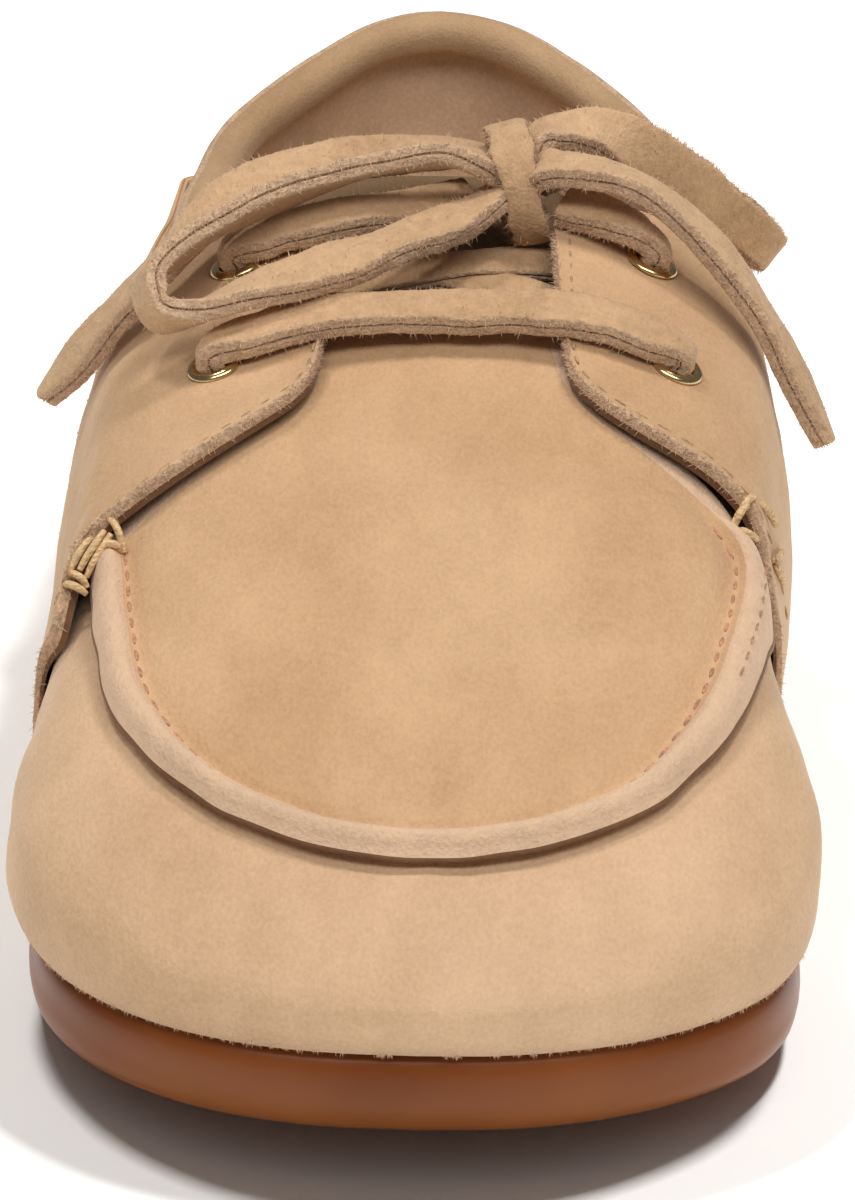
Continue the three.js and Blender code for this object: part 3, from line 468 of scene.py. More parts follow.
# Camera fitted to the photo of 855 by 1200 pixels, in millimetres and pixels; the near clip is in metres
CAMERA = {"at": (-0.46, -528.3, 240.8), "pitch": 0.402, "roll": 0.016, "focal": 4200.0, "off": 6.1}
NEAR_CLIP = 0.01
PHOTO = (855, 1200)
SENSOR = 36.0

# Lights: places and sizes in metres, powers in watts.
# EXCLUDE keeps a light off the floor, and INCLUDE lets it light nothing but the floor.
KEY_TINT = (1.0, 0.97, 0.94)
SOFT_TINT = (1.0, 0.98, 0.96)
LIGHTS = {
    "right_key": {
        "at": (0.3, 0.08, 1.0), "size": (0.14, 0.14), "power": 3.4, "tint": KEY_TINT, "floor": "EXCLUDE"
    },
    "left_key": {
        "at": (-0.3, 0.08, 1.0), "size": (0.14, 0.14), "power": 3.1, "tint": KEY_TINT, "floor": "EXCLUDE"
    },
    "front_light": {
        "at": (0.05, -0.66, 0.86), "size": (1.2, 0.3), "power": 6.9, "tint": SOFT_TINT, "floor": "EXCLUDE"
    },
    "right_floor_key": {
        "at": (0.3, 0.16, 1.0), "size": (0.13, 0.13), "power": 10.4, "tint": SOFT_TINT, "floor": "INCLUDE"
    },
    "left_floor_key": {
        "at": (-0.25, 0.2, 1.0), "size": (0.13, 0.13), "power": 7.0, "tint": SOFT_TINT, "floor": "INCLUDE"
    },
}
LIGHT_AIM = (0, -0.05, 0.03)
AIR = 0.15
AIR_TINT = (1.0, 0.99, 0.97, 1)
FLOOR_HALF = 6000.0

# Rim shapes of a shell: share of the thickness and share of the rim's bulge. A backed rim steps in under the
# suede, and its last bands belong to a dark backing, partly painted shade for the gap under a quarter's edge.
ROLLED_RIM = ((0.12, 0.62), (0.5, 1.0), (0.88, 0.62))
CUT_RIM = ((0.1, 0.9), (0.5, 1.0), (0.9, 0.9))
BACKED_RIM = ((0.08, 0.9), (0.6, 1.0), (0.66, 0.4), (0.95, 0.3))
BACKING_BANDS = 2
# Kinds of a shell's faces, in the order of its materials; SECOND is another finish of the outside
OUTSIDE, INSIDE, RIM, SECOND = 0, 1, 2, 3
# Rings of the apron's edge that are left raw, and the Y up to which the wall has its paler suede
RAW_RINGS = 7
PALE_TO = -35.0
# Angles in degrees past which a cut edge stays crisp
CRISP = {"sheet": 50, "strap": 55, "sole": 60}


def soft_size(name, words, value, low, high):
    """A size in millimetres that a user may change."""
    return bpy.props.FloatProperty(
        name=name, description=words + ", millimetres", default=value, min=low, max=high
    )


class ShoeSizes(bpy.types.PropertyGroup):
    """Sizes of the shoe's soft detail."""

    cut_thick: soft_size("Quarter thickness", "Suede of the quarters", 2.2, 1.0, 4.0)
    lip_bulge: soft_size("Lip bulge", "How far the apron's lip rolls out", 0.25, 0.0, 2.0)
    lump: soft_size("Hide unevenness", "Soft lumps of the suede", 0.22, 0.0, 1.0)
    collar_roll: soft_size("Collar roll", "Bulge of the padded collar", 1.3, 0.0, 3.0)
    ragged: soft_size("Ragged edge", "Unevenness of the lace's cut edge", 0.38, 0.0, 1.0)
    stitch_pitch: bpy.props.FloatProperty(
        name="Stitch pitch", description="From stitch to stitch", default=0.0031, unit="LENGTH"
    )


def colour(name, words, value):
    """A colour that a user may change."""
    return bpy.props.FloatVectorProperty(
        name=name, description=words, subtype="COLOR", size=3, min=0, max=1, default=value
    )


class ShoeColours(bpy.types.PropertyGroup):
    """Colours of the shoe's materials."""

    suede_light: colour("Suede, light", "Brushed nap", (0.63, 0.413, 0.24))
    suede_dark: colour("Suede, dark", "Nap lying the other way", (0.49, 0.296, 0.154))
    wall_light: colour("Wall, light", "Brushed nap of the toe and sides", (0.66, 0.448, 0.284))
    wall_dark: colour("Wall, dark", "Nap of the toe and sides lying the other way", (0.525, 0.336, 0.194))
    cut_edge: colour("Cut edge", "Raw cut edge of the suede", (0.58, 0.4, 0.262))
    lining: colour("Lining", "Lining leather", (0.62, 0.44, 0.3))
    gum_dark: colour("Gum, dark", "Gum rubber of the sole", (0.17, 0.043, 0.008))
    # Pale end of the gum's random clouds, and a painted reflection of the floor along the sole's lower rim.
    gum_clouds_and_reflection: colour("Gum, light", "Worn rim of the sole", (0.3, 0.102, 0.028))
    brass: colour("Brass", "Eyelets", (0.8, 0.6, 0.32))
    thread: colour("Thread", "Thick hand-sewn thread", (0.70, 0.47, 0.24))
    stitch: colour("Stitch", "Machine stitches", (0.5, 0.25, 0.15))
    raw: colour("Raw edge", "Turned edge of the apron", (0.7, 0.485, 0.326))
    # Painted shade: the dark colour under the apron's lip, also darkening the quarters' backing.
    lip_painted_shade: colour("Lip's underside", "Dark rubbed edge under the apron's lip", (0.2, 0.1, 0.05))
    floor: colour("Floor", "Studio floor", (0.95, 0.95, 0.948))


# Shape of the last


def column(rows, name, at):
    """Smooth curve through one column of a table, with no overshoot between rows."""
    xs, ys = rows["at"], rows[name]
    secants = np.diff(ys) / np.diff(xs)
    product = secants[:-1] * secants[1:]
    total = np.where(product > 0, secants[:-1] + secants[1:], 1.0)
    slopes = np.concatenate([secants[:1], np.where(product > 0, 2 * product / total, 0.0), secants[-1:]])
    at = np.clip(at, xs[0], xs[-1])
    i = np.clip(np.searchsorted(xs, at) - 1, 0, len(xs) - 2)
    span = xs[i + 1] - xs[i]
    s = (at - xs[i]) / span
    a, b = ys[i], ys[i + 1]
    c, d = slopes[i] * span, slopes[i + 1] * span
    return a + s * (c + s * (3 * (b - a) - 2 * c - d + s * (2 * (a - b) + c + d)))


def smooth(value):
    """Rises from 0 to 1 with level ends."""
    s = np.clip(value, 0, 1)
    return s * s * (3 - 2 * s)


def rounded(share, power):
    """Rises from 0 to 1 as a superellipse quarter."""
    return (1 - (1 - np.clip(share, 0, 1)) ** power) ** (1 / power)


def half_width(station, side, grow):
    """Half width of the grown last at its widest height."""
    toe = rounded((station + grow) / (TOE_ROUND[0] + grow), TOE_ROUND[1])
    heel = rounded((LENGTH + grow - station) / (HEEL_ROUND[0] + grow), HEEL_ROUND[1])
    wide = np.where(side < 0, column(SECTIONS, "lateral", station), column(SECTIONS, "medial", station))
    return (wide + grow) * toe * heel


def tuck_at(station, side):
    """How far the foot of the wall turns in."""
    at = np.maximum(0, station - TIP)
    return np.where(side < 0, column(TUCKS, "lateral", at), column(TUCKS, "medial", at))


def outline_point(station, side, grow, inset):
    """Plan point of the widest outline, moved inwards along its normal."""
    step = 0.02
    low = np.maximum(-grow, station - step)
    high = np.minimum(LENGTH + grow, station + step)
    slope = (half_width(high, side, grow) - half_width(low, side, grow)) / (high - low)
    size = np.hypot(1, slope)
    wide = half_width(station, side, grow)
    inwards = np.where(station < LENGTH / 2, 1.0, -1.0)
    at_tip = wide < 1e-3
    x = side * np.where(at_tip, 0, np.maximum(0, wide - inset / size)) + column(SECTIONS, "swing", station)
    y = TOE_Y + station + inset * np.where(at_tip, inwards, slope / size)
    return x, y


def sole_bottom(station):
    """Height of the tread."""
    spring = SPRING["toe"] * np.clip(1 - station / SPRING["reach"], 0, 1) ** SPRING["power"]
    arch = np.clip((station - ARCH["from"]) / (ARCH["to"] - ARCH["from"]), 0, 1)
    bevel = np.clip((station - HEEL_BEVEL["from"]) / (LENGTH - HEEL_BEVEL["from"]), 0, 1)
    return spring + ARCH["rise"] * np.sin(np.pi * arch) ** 2 + HEEL_BEVEL["rise"] * bevel**2


def sole_top(station):
    """Height of the sole's upper face."""
    toe = SOLE["toe_top"] * np.clip(1 - station / SPRING["reach"], 0, 1) ** SOLE["toe_power"]
    heel = smooth((station - SOLE["from"]) / (SOLE["to"] - SOLE["from"]))
    return SOLE["forefoot"] + toe + SOLE["raise"] * heel


def lean_at(station, height):
    """How far the heel leans forward."""
    back = np.clip((station - HEEL_LEAN["from"]) / (LENGTH - HEEL_LEAN["from"]), 0, 1)
    up = (height - HEEL_LEAN["low"]) / (HEEL_LEAN["high"] - HEEL_LEAN["low"])
    return HEEL_LEAN["amount"] * back**2 * up**2


def form(station, around, grow=0.0):
    """Points of the last grown by an amount.

    Around is -1 at the lateral foot of the wall, 0 at the ridge and 1 at the medial foot.
    """
    station, around, grow = np.broadcast_arrays(*(np.asarray(v, float) for v in (station, around, grow)))
    side = np.where(around < 0, -1.0, 1.0)
    share = np.abs(around)
    bulge = column(SECTIONS, "bulge", station)
    swing = column(SECTIONS, "swing", station)
    turn = np.clip(share / BULGE_AT, 0, 1) * (np.pi / 2)
    power = 2 / column(SECTIONS, "square", station)
    rise = np.maximum(0, np.cos(turn)) ** power
    spread = np.sin(turn) ** power
    toe = rounded((station + grow) / (TOE_ROUND[0] + grow), TOE_ROUND[1])
    heel = rounded((LENGTH + grow - station) / (HEEL_ROUND[0] + grow), HEEL_ROUND[1])
    crest = rounded((station + grow) / (TOE_TOP[0] + grow), TOE_TOP[1])
    wide = half_width(station, side, grow)
    upper_x = side * wide * spread + swing + column(SECTIONS, "shift", station) * rise * toe * heel
    upper_z = bulge + (column(SECTIONS, "ridge", station) + grow - bulge) * crest * rise
    under = np.clip((share - BULGE_AT) / (1 - BULGE_AT), 0, 1) * (np.pi / 2)
    lower_x, lower_y = outline_point(station, side, grow, tuck_at(station, side) * (1 - np.cos(under)))
    lower_z = bulge - (bulge - sole_top(station) - GAP) * np.sin(under)
    low = share > BULGE_AT
    x = np.where(low, lower_x, upper_x)
    z = np.where(low, lower_z, upper_z)
    y = np.where(low, lower_y, TOE_Y + station) - lean_at(station, z)
    return np.stack([x, y, z], -1)


def largest_share(holds, like):
    """Largest share around, up to the widest height, for which a test of it holds."""
    low = np.zeros_like(like)
    high = np.full_like(like, BULGE_AT)
    for _ in range(HALVINGS):
        middle = (low + high) / 2
        held = holds(middle)
        low = np.where(held, middle, low)
        high = np.where(held, high, middle)
    return low


def around_at(x, y, grow):
    """Around of the grown last's point above a plan position."""
    station = y - TOE_Y
    side = np.where(x < form(station, 0 * x, grow)[..., 0], -1.0, 1.0)

    def short(share):
        return side * form(station, side * share, grow)[..., 0] < side * x

    return side * largest_share(short, x)


def above(x, y, grow):
    """Points of the grown last above plan positions."""
    x, y, grow = np.broadcast_arrays(*(np.asarray(v, float) for v in (x, y, grow)))
    return form(y - TOE_Y, around_at(x, y, grow), grow)


def unit(vectors):
    """Vectors of length one."""
    return vectors / np.maximum(np.linalg.norm(vectors, axis=-1, keepdims=True), 1e-9)


def normal_at(station, around, grow=0.0):
    """Outward normals of the grown last."""
    ahead, aside = PROBE["station"], PROBE["around"]
    along = form(station + ahead, around, grow) - form(station - ahead, around, grow)
    across = form(station, around + aside, grow) - form(station, around - aside, grow)
    normal = unit(np.cross(across, along))
    point = form(station, around, grow)
    outwards = point - np.array([0.0, 0.0, PROBE["core"]])
    outwards[..., 1] = 0
    flip = np.sum(normal * outwards, -1, keepdims=True) < 0
    return np.where(flip, -normal, normal)


def station_for(station, grow):
    """Station of a grown form that stands for a station of the last."""
    return -grow + (LENGTH + 2 * grow) * station / LENGTH


def eased(count, share=0.8):
    """Numbers from 0 to 1, closer together at both ends."""
    s = np.linspace(0, 1, count)
    return s + share * ((1 - np.cos(np.pi * s)) / 2 - s)


def smooth_line(points, count, closed=False):
    """Evenly spaced points of a smooth curve through points (a centripetal spline)."""
    points = np.asarray(points, float)
    if closed:
        run = np.concatenate([points[-1:], points, points[:2]])
    else:
        run = np.concatenate([[2 * points[0] - points[1]], points, [2 * points[-1] - points[-2]]])
    dense = []
    share = np.linspace(0, 1, CURVE_STEPS, endpoint=False)[:, None]
    for p0, p1, p2, p3 in zip(run, run[1:], run[2:], run[3:]):
        d0, d1, d2 = (max(np.linalg.norm(b - a), 1e-6) ** 0.5 for a, b in ((p0, p1), (p1, p2), (p2, p3)))
        start = ((p1 - p0) / d0 - (p2 - p0) / (d0 + d1) + (p2 - p1) / d1) * d1
        end = ((p2 - p1) / d1 - (p3 - p1) / (d1 + d2) + (p3 - p2) / d2) * d1
        cubic = 2 * p1 - 2 * p2 + start + end
        square = -3 * p1 + 3 * p2 - 2 * start - end
        dense.append(p1 + share * (start + share * (square + share * cubic)))
    dense.append(run[-2][None])
    return spaced(np.concatenate(dense), count)


def spaced(line, count):
    """Points at equal steps along a line."""
    along = np.concatenate([[0], np.cumsum(np.linalg.norm(np.diff(line, axis=0), axis=1))])
    at = np.linspace(0, along[-1], count)
    return np.stack([np.interp(at, along, line[:, k]) for k in range(line.shape[1])], -1)


def line_length(line):
    """Length of a run of points."""
    return float(np.linalg.norm(np.diff(line, axis=0), axis=1).sum())


def lumps(points, size, layer=0.0):
    """Soft noise from -1 to 1 at points, with lumps of a size."""
    return np.array([noise.noise(Vector(p) / size + Vector((layer, layer, layer))) for p in points])


def flat_lumps(plan, size, layer):
    """Soft noise from -1 to 1 at plan positions, with lumps of a size."""
    return np.array([noise.noise(Vector((x / size, y / size, layer))) for x, y in plan])


# Meshes


def grid_faces(rows, columns):
    """Quads of a grid, as vertex numbers."""
    a = (np.arange(rows - 1)[:, None] * columns + np.arange(columns - 1)).ravel()
    return np.stack([a, a + 1, a + columns + 1, a + columns], -1)


def welded(sheets, faces):
    """Sheets and faces with the points that coincide in every sheet made one."""
    keys = np.round(np.concatenate(sheets, axis=1) / WELD + WELD_SHIFT).astype(np.int64)
    _, first, back = np.unique(keys, axis=0, return_index=True, return_inverse=True)
    return [sheet[first] for sheet in sheets], back.reshape(-1)[faces]


def open_edges(faces, count):
    """Edges that only one face has, in its direction, and the number of that face."""
    edges = np.concatenate([faces[:, [k, (k + 1) % 4]] for k in range(4)])
    owner = np.tile(np.arange(len(faces)), 4)
    real = edges[:, 0] != edges[:, 1]
    edges, owner = edges[real], owner[real]
    single = ~np.isin(edges[:, 0] * count + edges[:, 1], edges[:, 1] * count + edges[:, 0])
    return edges[single], owner[single]


def thick_sheet(outer, inner, faces, bulge, rim=CUT_RIM):
    """Closed shell between two sheets of the same faces, with a rim that stands out by an amount.

    Returns its points, its quads and each quad's kind.
    """
    count = len(outer)
    up = unit(outer - inner)
    corners = outer[faces]
    facing = np.cross(corners[:, 2] - corners[:, 0], corners[:, 3] - corners[:, 1])
    if np.sum(facing * up[faces[:, 0]]) < 0:
        faces = faces[:, ::-1]
    edges, owner = open_edges(faces, count)
    reach = np.zeros_like(outer)
    along = np.zeros_like(outer)
    centres = outer[faces].mean(1)
    for end in (0, 1):
        np.add.at(reach, edges[:, end], outer[edges[:, end]] - centres[owner])
        np.add.at(along, edges[:, end], outer[edges[:, 1]] - outer[edges[:, 0]])
    along = unit(along)
    reach -= along * np.sum(reach * along, -1, keepdims=True)
    reach -= up * np.sum(reach * up, -1, keepdims=True)
    reach = unit(reach)
    rim_points = np.unique(edges)
    number = np.full(count, -1)
    number[rim_points] = np.arange(len(rim_points))
    points = [outer, inner]
    levels = [np.arange(count)]
    for level, (share, stand) in enumerate(rim):
        row = outer + (inner - outer) * share + reach * (bulge * stand)
        points.append(row[rim_points])
        levels.append(2 * count + level * len(rim_points) + number)
    levels.append(np.arange(count) + count)
    a, b = edges[:, 0], edges[:, 1]
    bands = [np.stack([hi[b], hi[a], lo[a], lo[b]], -1) for hi, lo in zip(levels, levels[1:])]
    quads = np.concatenate([faces, faces[:, ::-1] + count, *bands])
    kinds = np.full(len(quads), RIM)
    kinds[: len(faces)] = OUTSIDE
    kinds[len(faces) : 2 * len(faces)] = INSIDE
    return np.concatenate(points), quads, kinds


def make_piece(name, points, faces, materials, kinds=None, crisp=None):
    """A mesh object of points in millimetres, with a material for each kind of face."""
    mesh = bpy.data.meshes.new(name)
    clean = []
    chosen = []
    for number, face in enumerate(np.asarray(faces).tolist()):
        corners = [v for k, v in enumerate(face) if v != face[k - 1]]
        if len(set(corners)) > 2:
            clean.append(corners)
            chosen.append(0 if kinds is None else int(kinds[number]))
    mesh.from_pydata((np.asarray(points) * MM).tolist(), [], clean)
    for material in materials:
        mesh.materials.append(material)
    mesh.polygons.foreach_set("material_index", [min(k, len(materials) - 1) for k in chosen])
    mesh.polygons.foreach_set("use_smooth", [True] * len(clean))
    if crisp is not None:
        mesh.set_sharp_from_angle(angle=math.radians(crisp))
    mesh.update()
    piece = bpy.data.objects.new(name, mesh)
    bpy.context.scene.collection.objects.link(piece)
    return piece


def settle(piece, slot, *nodes):
    """Puts a piece on the shoe's body, in the place of CAD nodes; its slot is not used."""
    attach(piece, BODY)
    if nodes:
        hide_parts(*nodes)
    return piece


def nearest(points, targets):
    """Distance from each point to the nearest of the targets."""
    tree = kdtree.KDTree(len(targets))
    for k, target in enumerate(targets):
        tree.insert(target, k)
    tree.balance()
    return np.array([tree.find(p)[2] for p in points])


# Materials


def node_material(name):
    """A new material with its principled shader, nodes and links."""
    material = bpy.data.materials.new(name)
    material.use_nodes = True
    nodes = material.node_tree.nodes
    links = material.node_tree.links
    shader = nodes["Principled BSDF"]
    return material, shader, nodes, links


def noise_node(nodes, links, scale, detail=3.0, stretch=None):
    """Noise on object coordinates, with an optional stretch."""
    coordinates = nodes.new("ShaderNodeTexCoord")
    texture = nodes.new("ShaderNodeTexNoise")
    texture.inputs["Scale"].default_value = scale
    texture.inputs["Detail"].default_value = detail
    source = coordinates.outputs["Object"]
    if stretch is not None:
        mapping = nodes.new("ShaderNodeMapping")
        mapping.inputs["Scale"].default_value = stretch
        links.new(source, mapping.inputs["Vector"])
        source = mapping.outputs["Vector"]
    links.new(source, texture.inputs["Vector"])
    return texture.outputs["Fac"]


def set_sockets(node, values):
    """Sets sockets of a node by name."""
    for name, value in values.items():
        node.inputs[name].default_value = value


def ramp_node(nodes, links, factor, limits, dark, light):
    """A colour between two colours, by a factor between two limits."""
    ramp = nodes.new("ShaderNodeValToRGB")
    for element, limit, value in zip(ramp.color_ramp.elements, limits, (dark, light)):
        element.position = limit
        element.color = (*value, 1)
    links.new(factor, ramp.inputs["Fac"])
    return ramp.outputs["Color"]


def mix_node(nodes, links, first, second, share):
    """Two colours mixed, with a share of the second."""
    mix = nodes.new("ShaderNodeMix")
    mix.data_type = "RGBA"
    mix.inputs["Factor"].default_value = share
    links.new(first, mix.inputs["A"])
    links.new(second, mix.inputs["B"])
    return mix.outputs["Result"]


def bump_node(nodes, links, heights, shader):
    """Bumps one over the other: pairs of a height and its depth in metres."""
    last = None
    for height, depth in heights:
        bump = nodes.new("ShaderNodeBump")
        bump.inputs["Strength"].default_value = 1.0
        bump.inputs["Distance"].default_value = depth
        links.new(height, bump.inputs["Height"])
        if last is not None:
            links.new(last, bump.inputs["Normal"])
        last = bump.outputs["Normal"]
    links.new(last, shader.inputs["Normal"])


def scaled(value, factor):
    """A colour made darker or lighter."""
    return tuple(min(1.0, channel * factor) for channel in value)


def suede_material(name, light, dark, nap=0.00013, tufted=0.07):
    """Napped suede: brushed patches, fine mottling, tufts and short nap."""
    material, shader, nodes, links = node_material(name)
    patches = noise_node(nodes, links, scale=28.0, detail=3.0, stretch=(1.0, 0.7, 1.0))
    brushed = noise_node(nodes, links, scale=130.0, detail=4.0, stretch=(1.0, 0.55, 0.8))
    tufts = noise_node(nodes, links, scale=620.0, detail=3.0, stretch=(1.0, 0.7, 1.0))
    grain = noise_node(nodes, links, scale=2200.0, detail=2.0, stretch=(1.0, 0.6, 1.0))
    base = ramp_node(nodes, links, patches, (0.4, 0.6), dark, light)
    fine = ramp_node(nodes, links, brushed, (0.34, 0.66), scaled(dark, 0.93), scaled(light, 1.07))
    tuft = ramp_node(nodes, links, tufts, (0.36, 0.66), scaled(dark, 0.62), scaled(light, 1.1))
    specks = ramp_node(nodes, links, grain, (0.3, 0.72), scaled(dark, 0.74), scaled(light, 1.14))
    mottled = mix_node(nodes, links, base, fine, share=0.33)
    napped = mix_node(nodes, links, mottled, tuft, share=tufted)
    links.new(mix_node(nodes, links, napped, specks, share=0.2), shader.inputs["Base Color"])
    set_sockets(shader, {
        "Roughness": 0.95,
        "Specular IOR Level": 0.12,
        "Sheen Weight": 0.3,
        "Sheen Roughness": 0.45,
        "Sheen Tint": (1.0, 0.86, 0.7, 1),
    })
    tuft_depth = tufted * 0.0012
    bump_node(nodes, links, [(patches, 0.0005), (brushed, nap), (tufts, tuft_depth), (grain, nap)], shader)
    return material


def cut_edge_material(name, value):
    """Raw cut edge of the suede: greyish, fibrous, in layers."""
    material, shader, nodes, links = node_material(name)
    layers = noise_node(nodes, links, scale=700.0, detail=3.0, stretch=(0.5, 0.5, 1.6))
    strands = noise_node(nodes, links, scale=2300.0, detail=2.0)
    base = ramp_node(nodes, links, layers, (0.3, 0.7), scaled(value, 0.7), scaled(value, 1.15))
    specks = ramp_node(nodes, links, strands, (0.35, 0.7), scaled(value, 0.55), scaled(value, 1.35))
    links.new(mix_node(nodes, links, base, specks, share=0.4), shader.inputs["Base Color"])
    set_sockets(shader, {"Roughness": 1.0, "Specular IOR Level": 0.1})
    bump_node(nodes, links, [(layers, 0.0004), (strands, 0.0003)], shader)
    return material


def lining_material(name, value):
    """Smooth lining leather with pores and rubbed patches."""
    material, shader, nodes, links = node_material(name)
    rubbed = noise_node(nodes, links, scale=60.0, detail=4.0)
    pores = noise_node(nodes, links, scale=1500.0, detail=2.0)
    base = ramp_node(nodes, links, rubbed, (0.32, 0.7), scaled(value, 0.8), scaled(value, 1.25))
    specks = ramp_node(nodes, links, pores, (0.35, 0.65), scaled(value, 0.75), scaled(value, 1.2))
    links.new(mix_node(nodes, links, base, specks, share=0.3), shader.inputs["Base Color"])
    set_sockets(shader, {"Roughness": 0.75, "Specular IOR Level": 0.25})
    bump_node(nodes, links, [(rubbed, 0.0003), (pores, 0.0001)], shader)
    return material


def gum_material(name, dark, light):
    """Half-gloss gum rubber, paler towards its lower rim as a painted reflection of the floor."""
    material, shader, nodes, links = node_material(name)
    coordinates = nodes.new("ShaderNodeTexCoord")
    split = nodes.new("ShaderNodeSeparateXYZ")
    links.new(coordinates.outputs["Object"], split.inputs["Vector"])
    height = nodes.new("ShaderNodeMapRange")
    set_sockets(height, {"From Min": 0.0, "From Max": 0.016})
    links.new(split.outputs["Z"], height.inputs["Value"])
    cloud = noise_node(nodes, links, scale=45.0, detail=3.0)
    scuffs = noise_node(nodes, links, scale=420.0, detail=4.0, stretch=(0.3, 0.3, 2.0))
    # Painted reflection: the gum is paler towards the floor and darker higher up.
    base = ramp_node(nodes, links, height.outputs["Result"], (0.3, 0.75), light, dark)
    clouded = ramp_node(nodes, links, cloud, (0.35, 0.7), scaled(dark, 0.85), scaled(light, 1.05))
    links.new(mix_node(nodes, links, base, clouded, share=0.3), shader.inputs["Base Color"])
    rough = nodes.new("ShaderNodeMapRange")
    set_sockets(rough, {"To Min": 0.24, "To Max": 0.4})
    links.new(scuffs, rough.inputs["Value"])
    links.new(rough.outputs["Result"], shader.inputs["Roughness"])
    set_sockets(shader, {"Specular IOR Level": 0.22})
    bump_node(nodes, links, [(cloud, 0.0003), (scuffs, 0.00002)], shader)
    return material


def brass_material(name, value):
    """Polished brass, a little tarnished."""
    material, shader, nodes, links = node_material(name)
    tarnish = noise_node(nodes, links, scale=600.0, detail=3.0)
    base = ramp_node(nodes, links, tarnish, (0.35, 0.7), scaled(value, 0.6), value)
    links.new(base, shader.inputs["Base Color"])
    set_sockets(shader, {"Metallic": 1.0, "Roughness": 0.2})
    bump_node(nodes, links, [(tarnish, 0.00003)], shader)
    return material


def thread_material(name, value):
    """Waxed thread with a twist."""
    material, shader, nodes, links = node_material(name)
    strands = noise_node(nodes, links, scale=1300.0, detail=2.0, stretch=(1.0, 1.0, 2.0))
    base = ramp_node(nodes, links, strands, (0.3, 0.7), scaled(value, 0.6), scaled(value, 1.2))
    links.new(base, shader.inputs["Base Color"])
    set_sockets(shader, {"Roughness": 0.7})
    bump_node(nodes, links, [(strands, 0.0003)], shader)
    return material


def floor_material(name, value):
    """Matt studio floor."""
    material, shader, nodes, links = node_material(name)
    grain = noise_node(nodes, links, scale=6.0, detail=2.0)
    base = ramp_node(nodes, links, grain, (0.3, 0.7), scaled(value, 0.985), value)
    links.new(base, shader.inputs["Base Color"])
    set_sockets(shader, {"Roughness": 0.8, "Specular IOR Level": 0.2})
    return material


def made_once(name, maker, *values):
    """A material by name, made where it isn't there yet."""
    found = bpy.data.materials.get(name)
    return found if found is not None else maker(name, *values)


def suede(context):
    """Suede of the apron, the quarters and the back of the wall."""
    colours = context.scene.shoe_colours
    return made_once("suede_tan", suede_material, colours.suede_light, colours.suede_dark)


def wall_suede(context):
    """Paler suede of the wall's front than of the apron."""
    colours = context.scene.shoe_colours
    return made_once("suede_wall", suede_material, colours.wall_light, colours.wall_dark)


def cut_edge(context):
    """Cut edge of the suede."""
    return made_once("suede_cut_edge", cut_edge_material, context.scene.shoe_colours.cut_edge)


def lip_edge(context):
    """Dark suede painted as the shade under the apron's lip, also the quarters' dark backing, partly painted
    shade.
    """
    under = context.scene.shoe_colours.lip_painted_shade
    return made_once("lip_edge", suede_material, under, scaled(under, 0.6))


def raw_suede(context):
    """Paler, pinkish suede of the apron's turned edge."""
    light = context.scene.shoe_colours.raw
    return made_once("raw_suede", suede_material, light, scaled(light, 0.88), 0.0002, 0.14)


def collar_suede(context):
    """Suede of the collar, darkened as painted shade for the dimmer heel."""
    colours = context.scene.shoe_colours
    light = scaled(colours.suede_light, 0.8)
    return made_once("collar_suede", suede_material, light, scaled(colours.suede_dark, 0.76))


def tongue_suede(context):
    """Suede of the tongue, darkened to dark brown as painted shade for the deep throat."""
    dark = scaled(context.scene.shoe_colours.suede_dark, 0.4)
    return made_once("tongue_suede", suede_material, dark, scaled(dark, 0.8))


def lining(context):
    """Lining leather."""
    return made_once("lining_leather", lining_material, context.scene.shoe_colours.lining)


def lace_suede(context):
    """Suede of the laces, a little browner."""
    colours = context.scene.shoe_colours
    dark = scaled(colours.suede_dark, 0.86)
    return made_once("lace_suede", suede_material, colours.suede_light, dark, 0.0002, 0.22)


# Pieces


def quarter_grow(around, station):
    """Height of a quarter's outside above the last: higher where it lies over the apron."""
    run = QUARTER_RISE["run"]
    over = 1 - smooth((np.abs(around) - QUARTER_RISE["around"]) / QUARTER_RISE["spread"])
    front = smooth((station - QUARTER_RISE["front"]) / run)
    back = 1 - smooth((station - QUARTER_RISE["back"]) / run)
    return GAP + OVERLAY + QUARTER_LIFT * over * (front * back)


def quarter_top(around, station):
    """Height of a quarter's dressed outside, skived thin down the side of the shoe."""
    thinned = SKIVE["off"] * smooth((np.abs(around) - SKIVE["around"]) / SKIVE["spread"])
    return quarter_grow(around, station) + SKIVE["full"] - thinned


def curl_fade(around):
    """Share of a quarter's curl that is left at a place around."""
    return 1 - smooth((np.abs(around) - CURL_FADE["around"]) / CURL_FADE["spread"])


def collar_limit(station, side):
    """Around of the collar line at a station, or 0 where the last is lower than the collar."""

    def tall(share):
        point = form(station, side * share)
        return point[..., 2] > column(COLLAR_LINE, "height", point[..., 1])

    limit = largest_share(tall, station)
    return np.where(limit < 1e-4, 0.0, limit)


def throat_limit(station, side):
    """Around of the throat's round-fronted slot at a station."""
    y = station + TOE_Y
    short = np.clip((THROAT["front"] + THROAT["round"] - y) / THROAT["round"], 0, 1)
    half = THROAT["half"] * np.sqrt(1 - short**2)
    limit = np.abs(around_at(THROAT["centre"] + side * half, y, 0.0))
    return np.where((half > 1e-6) & (y < THROAT["back"]), limit, 0.0)


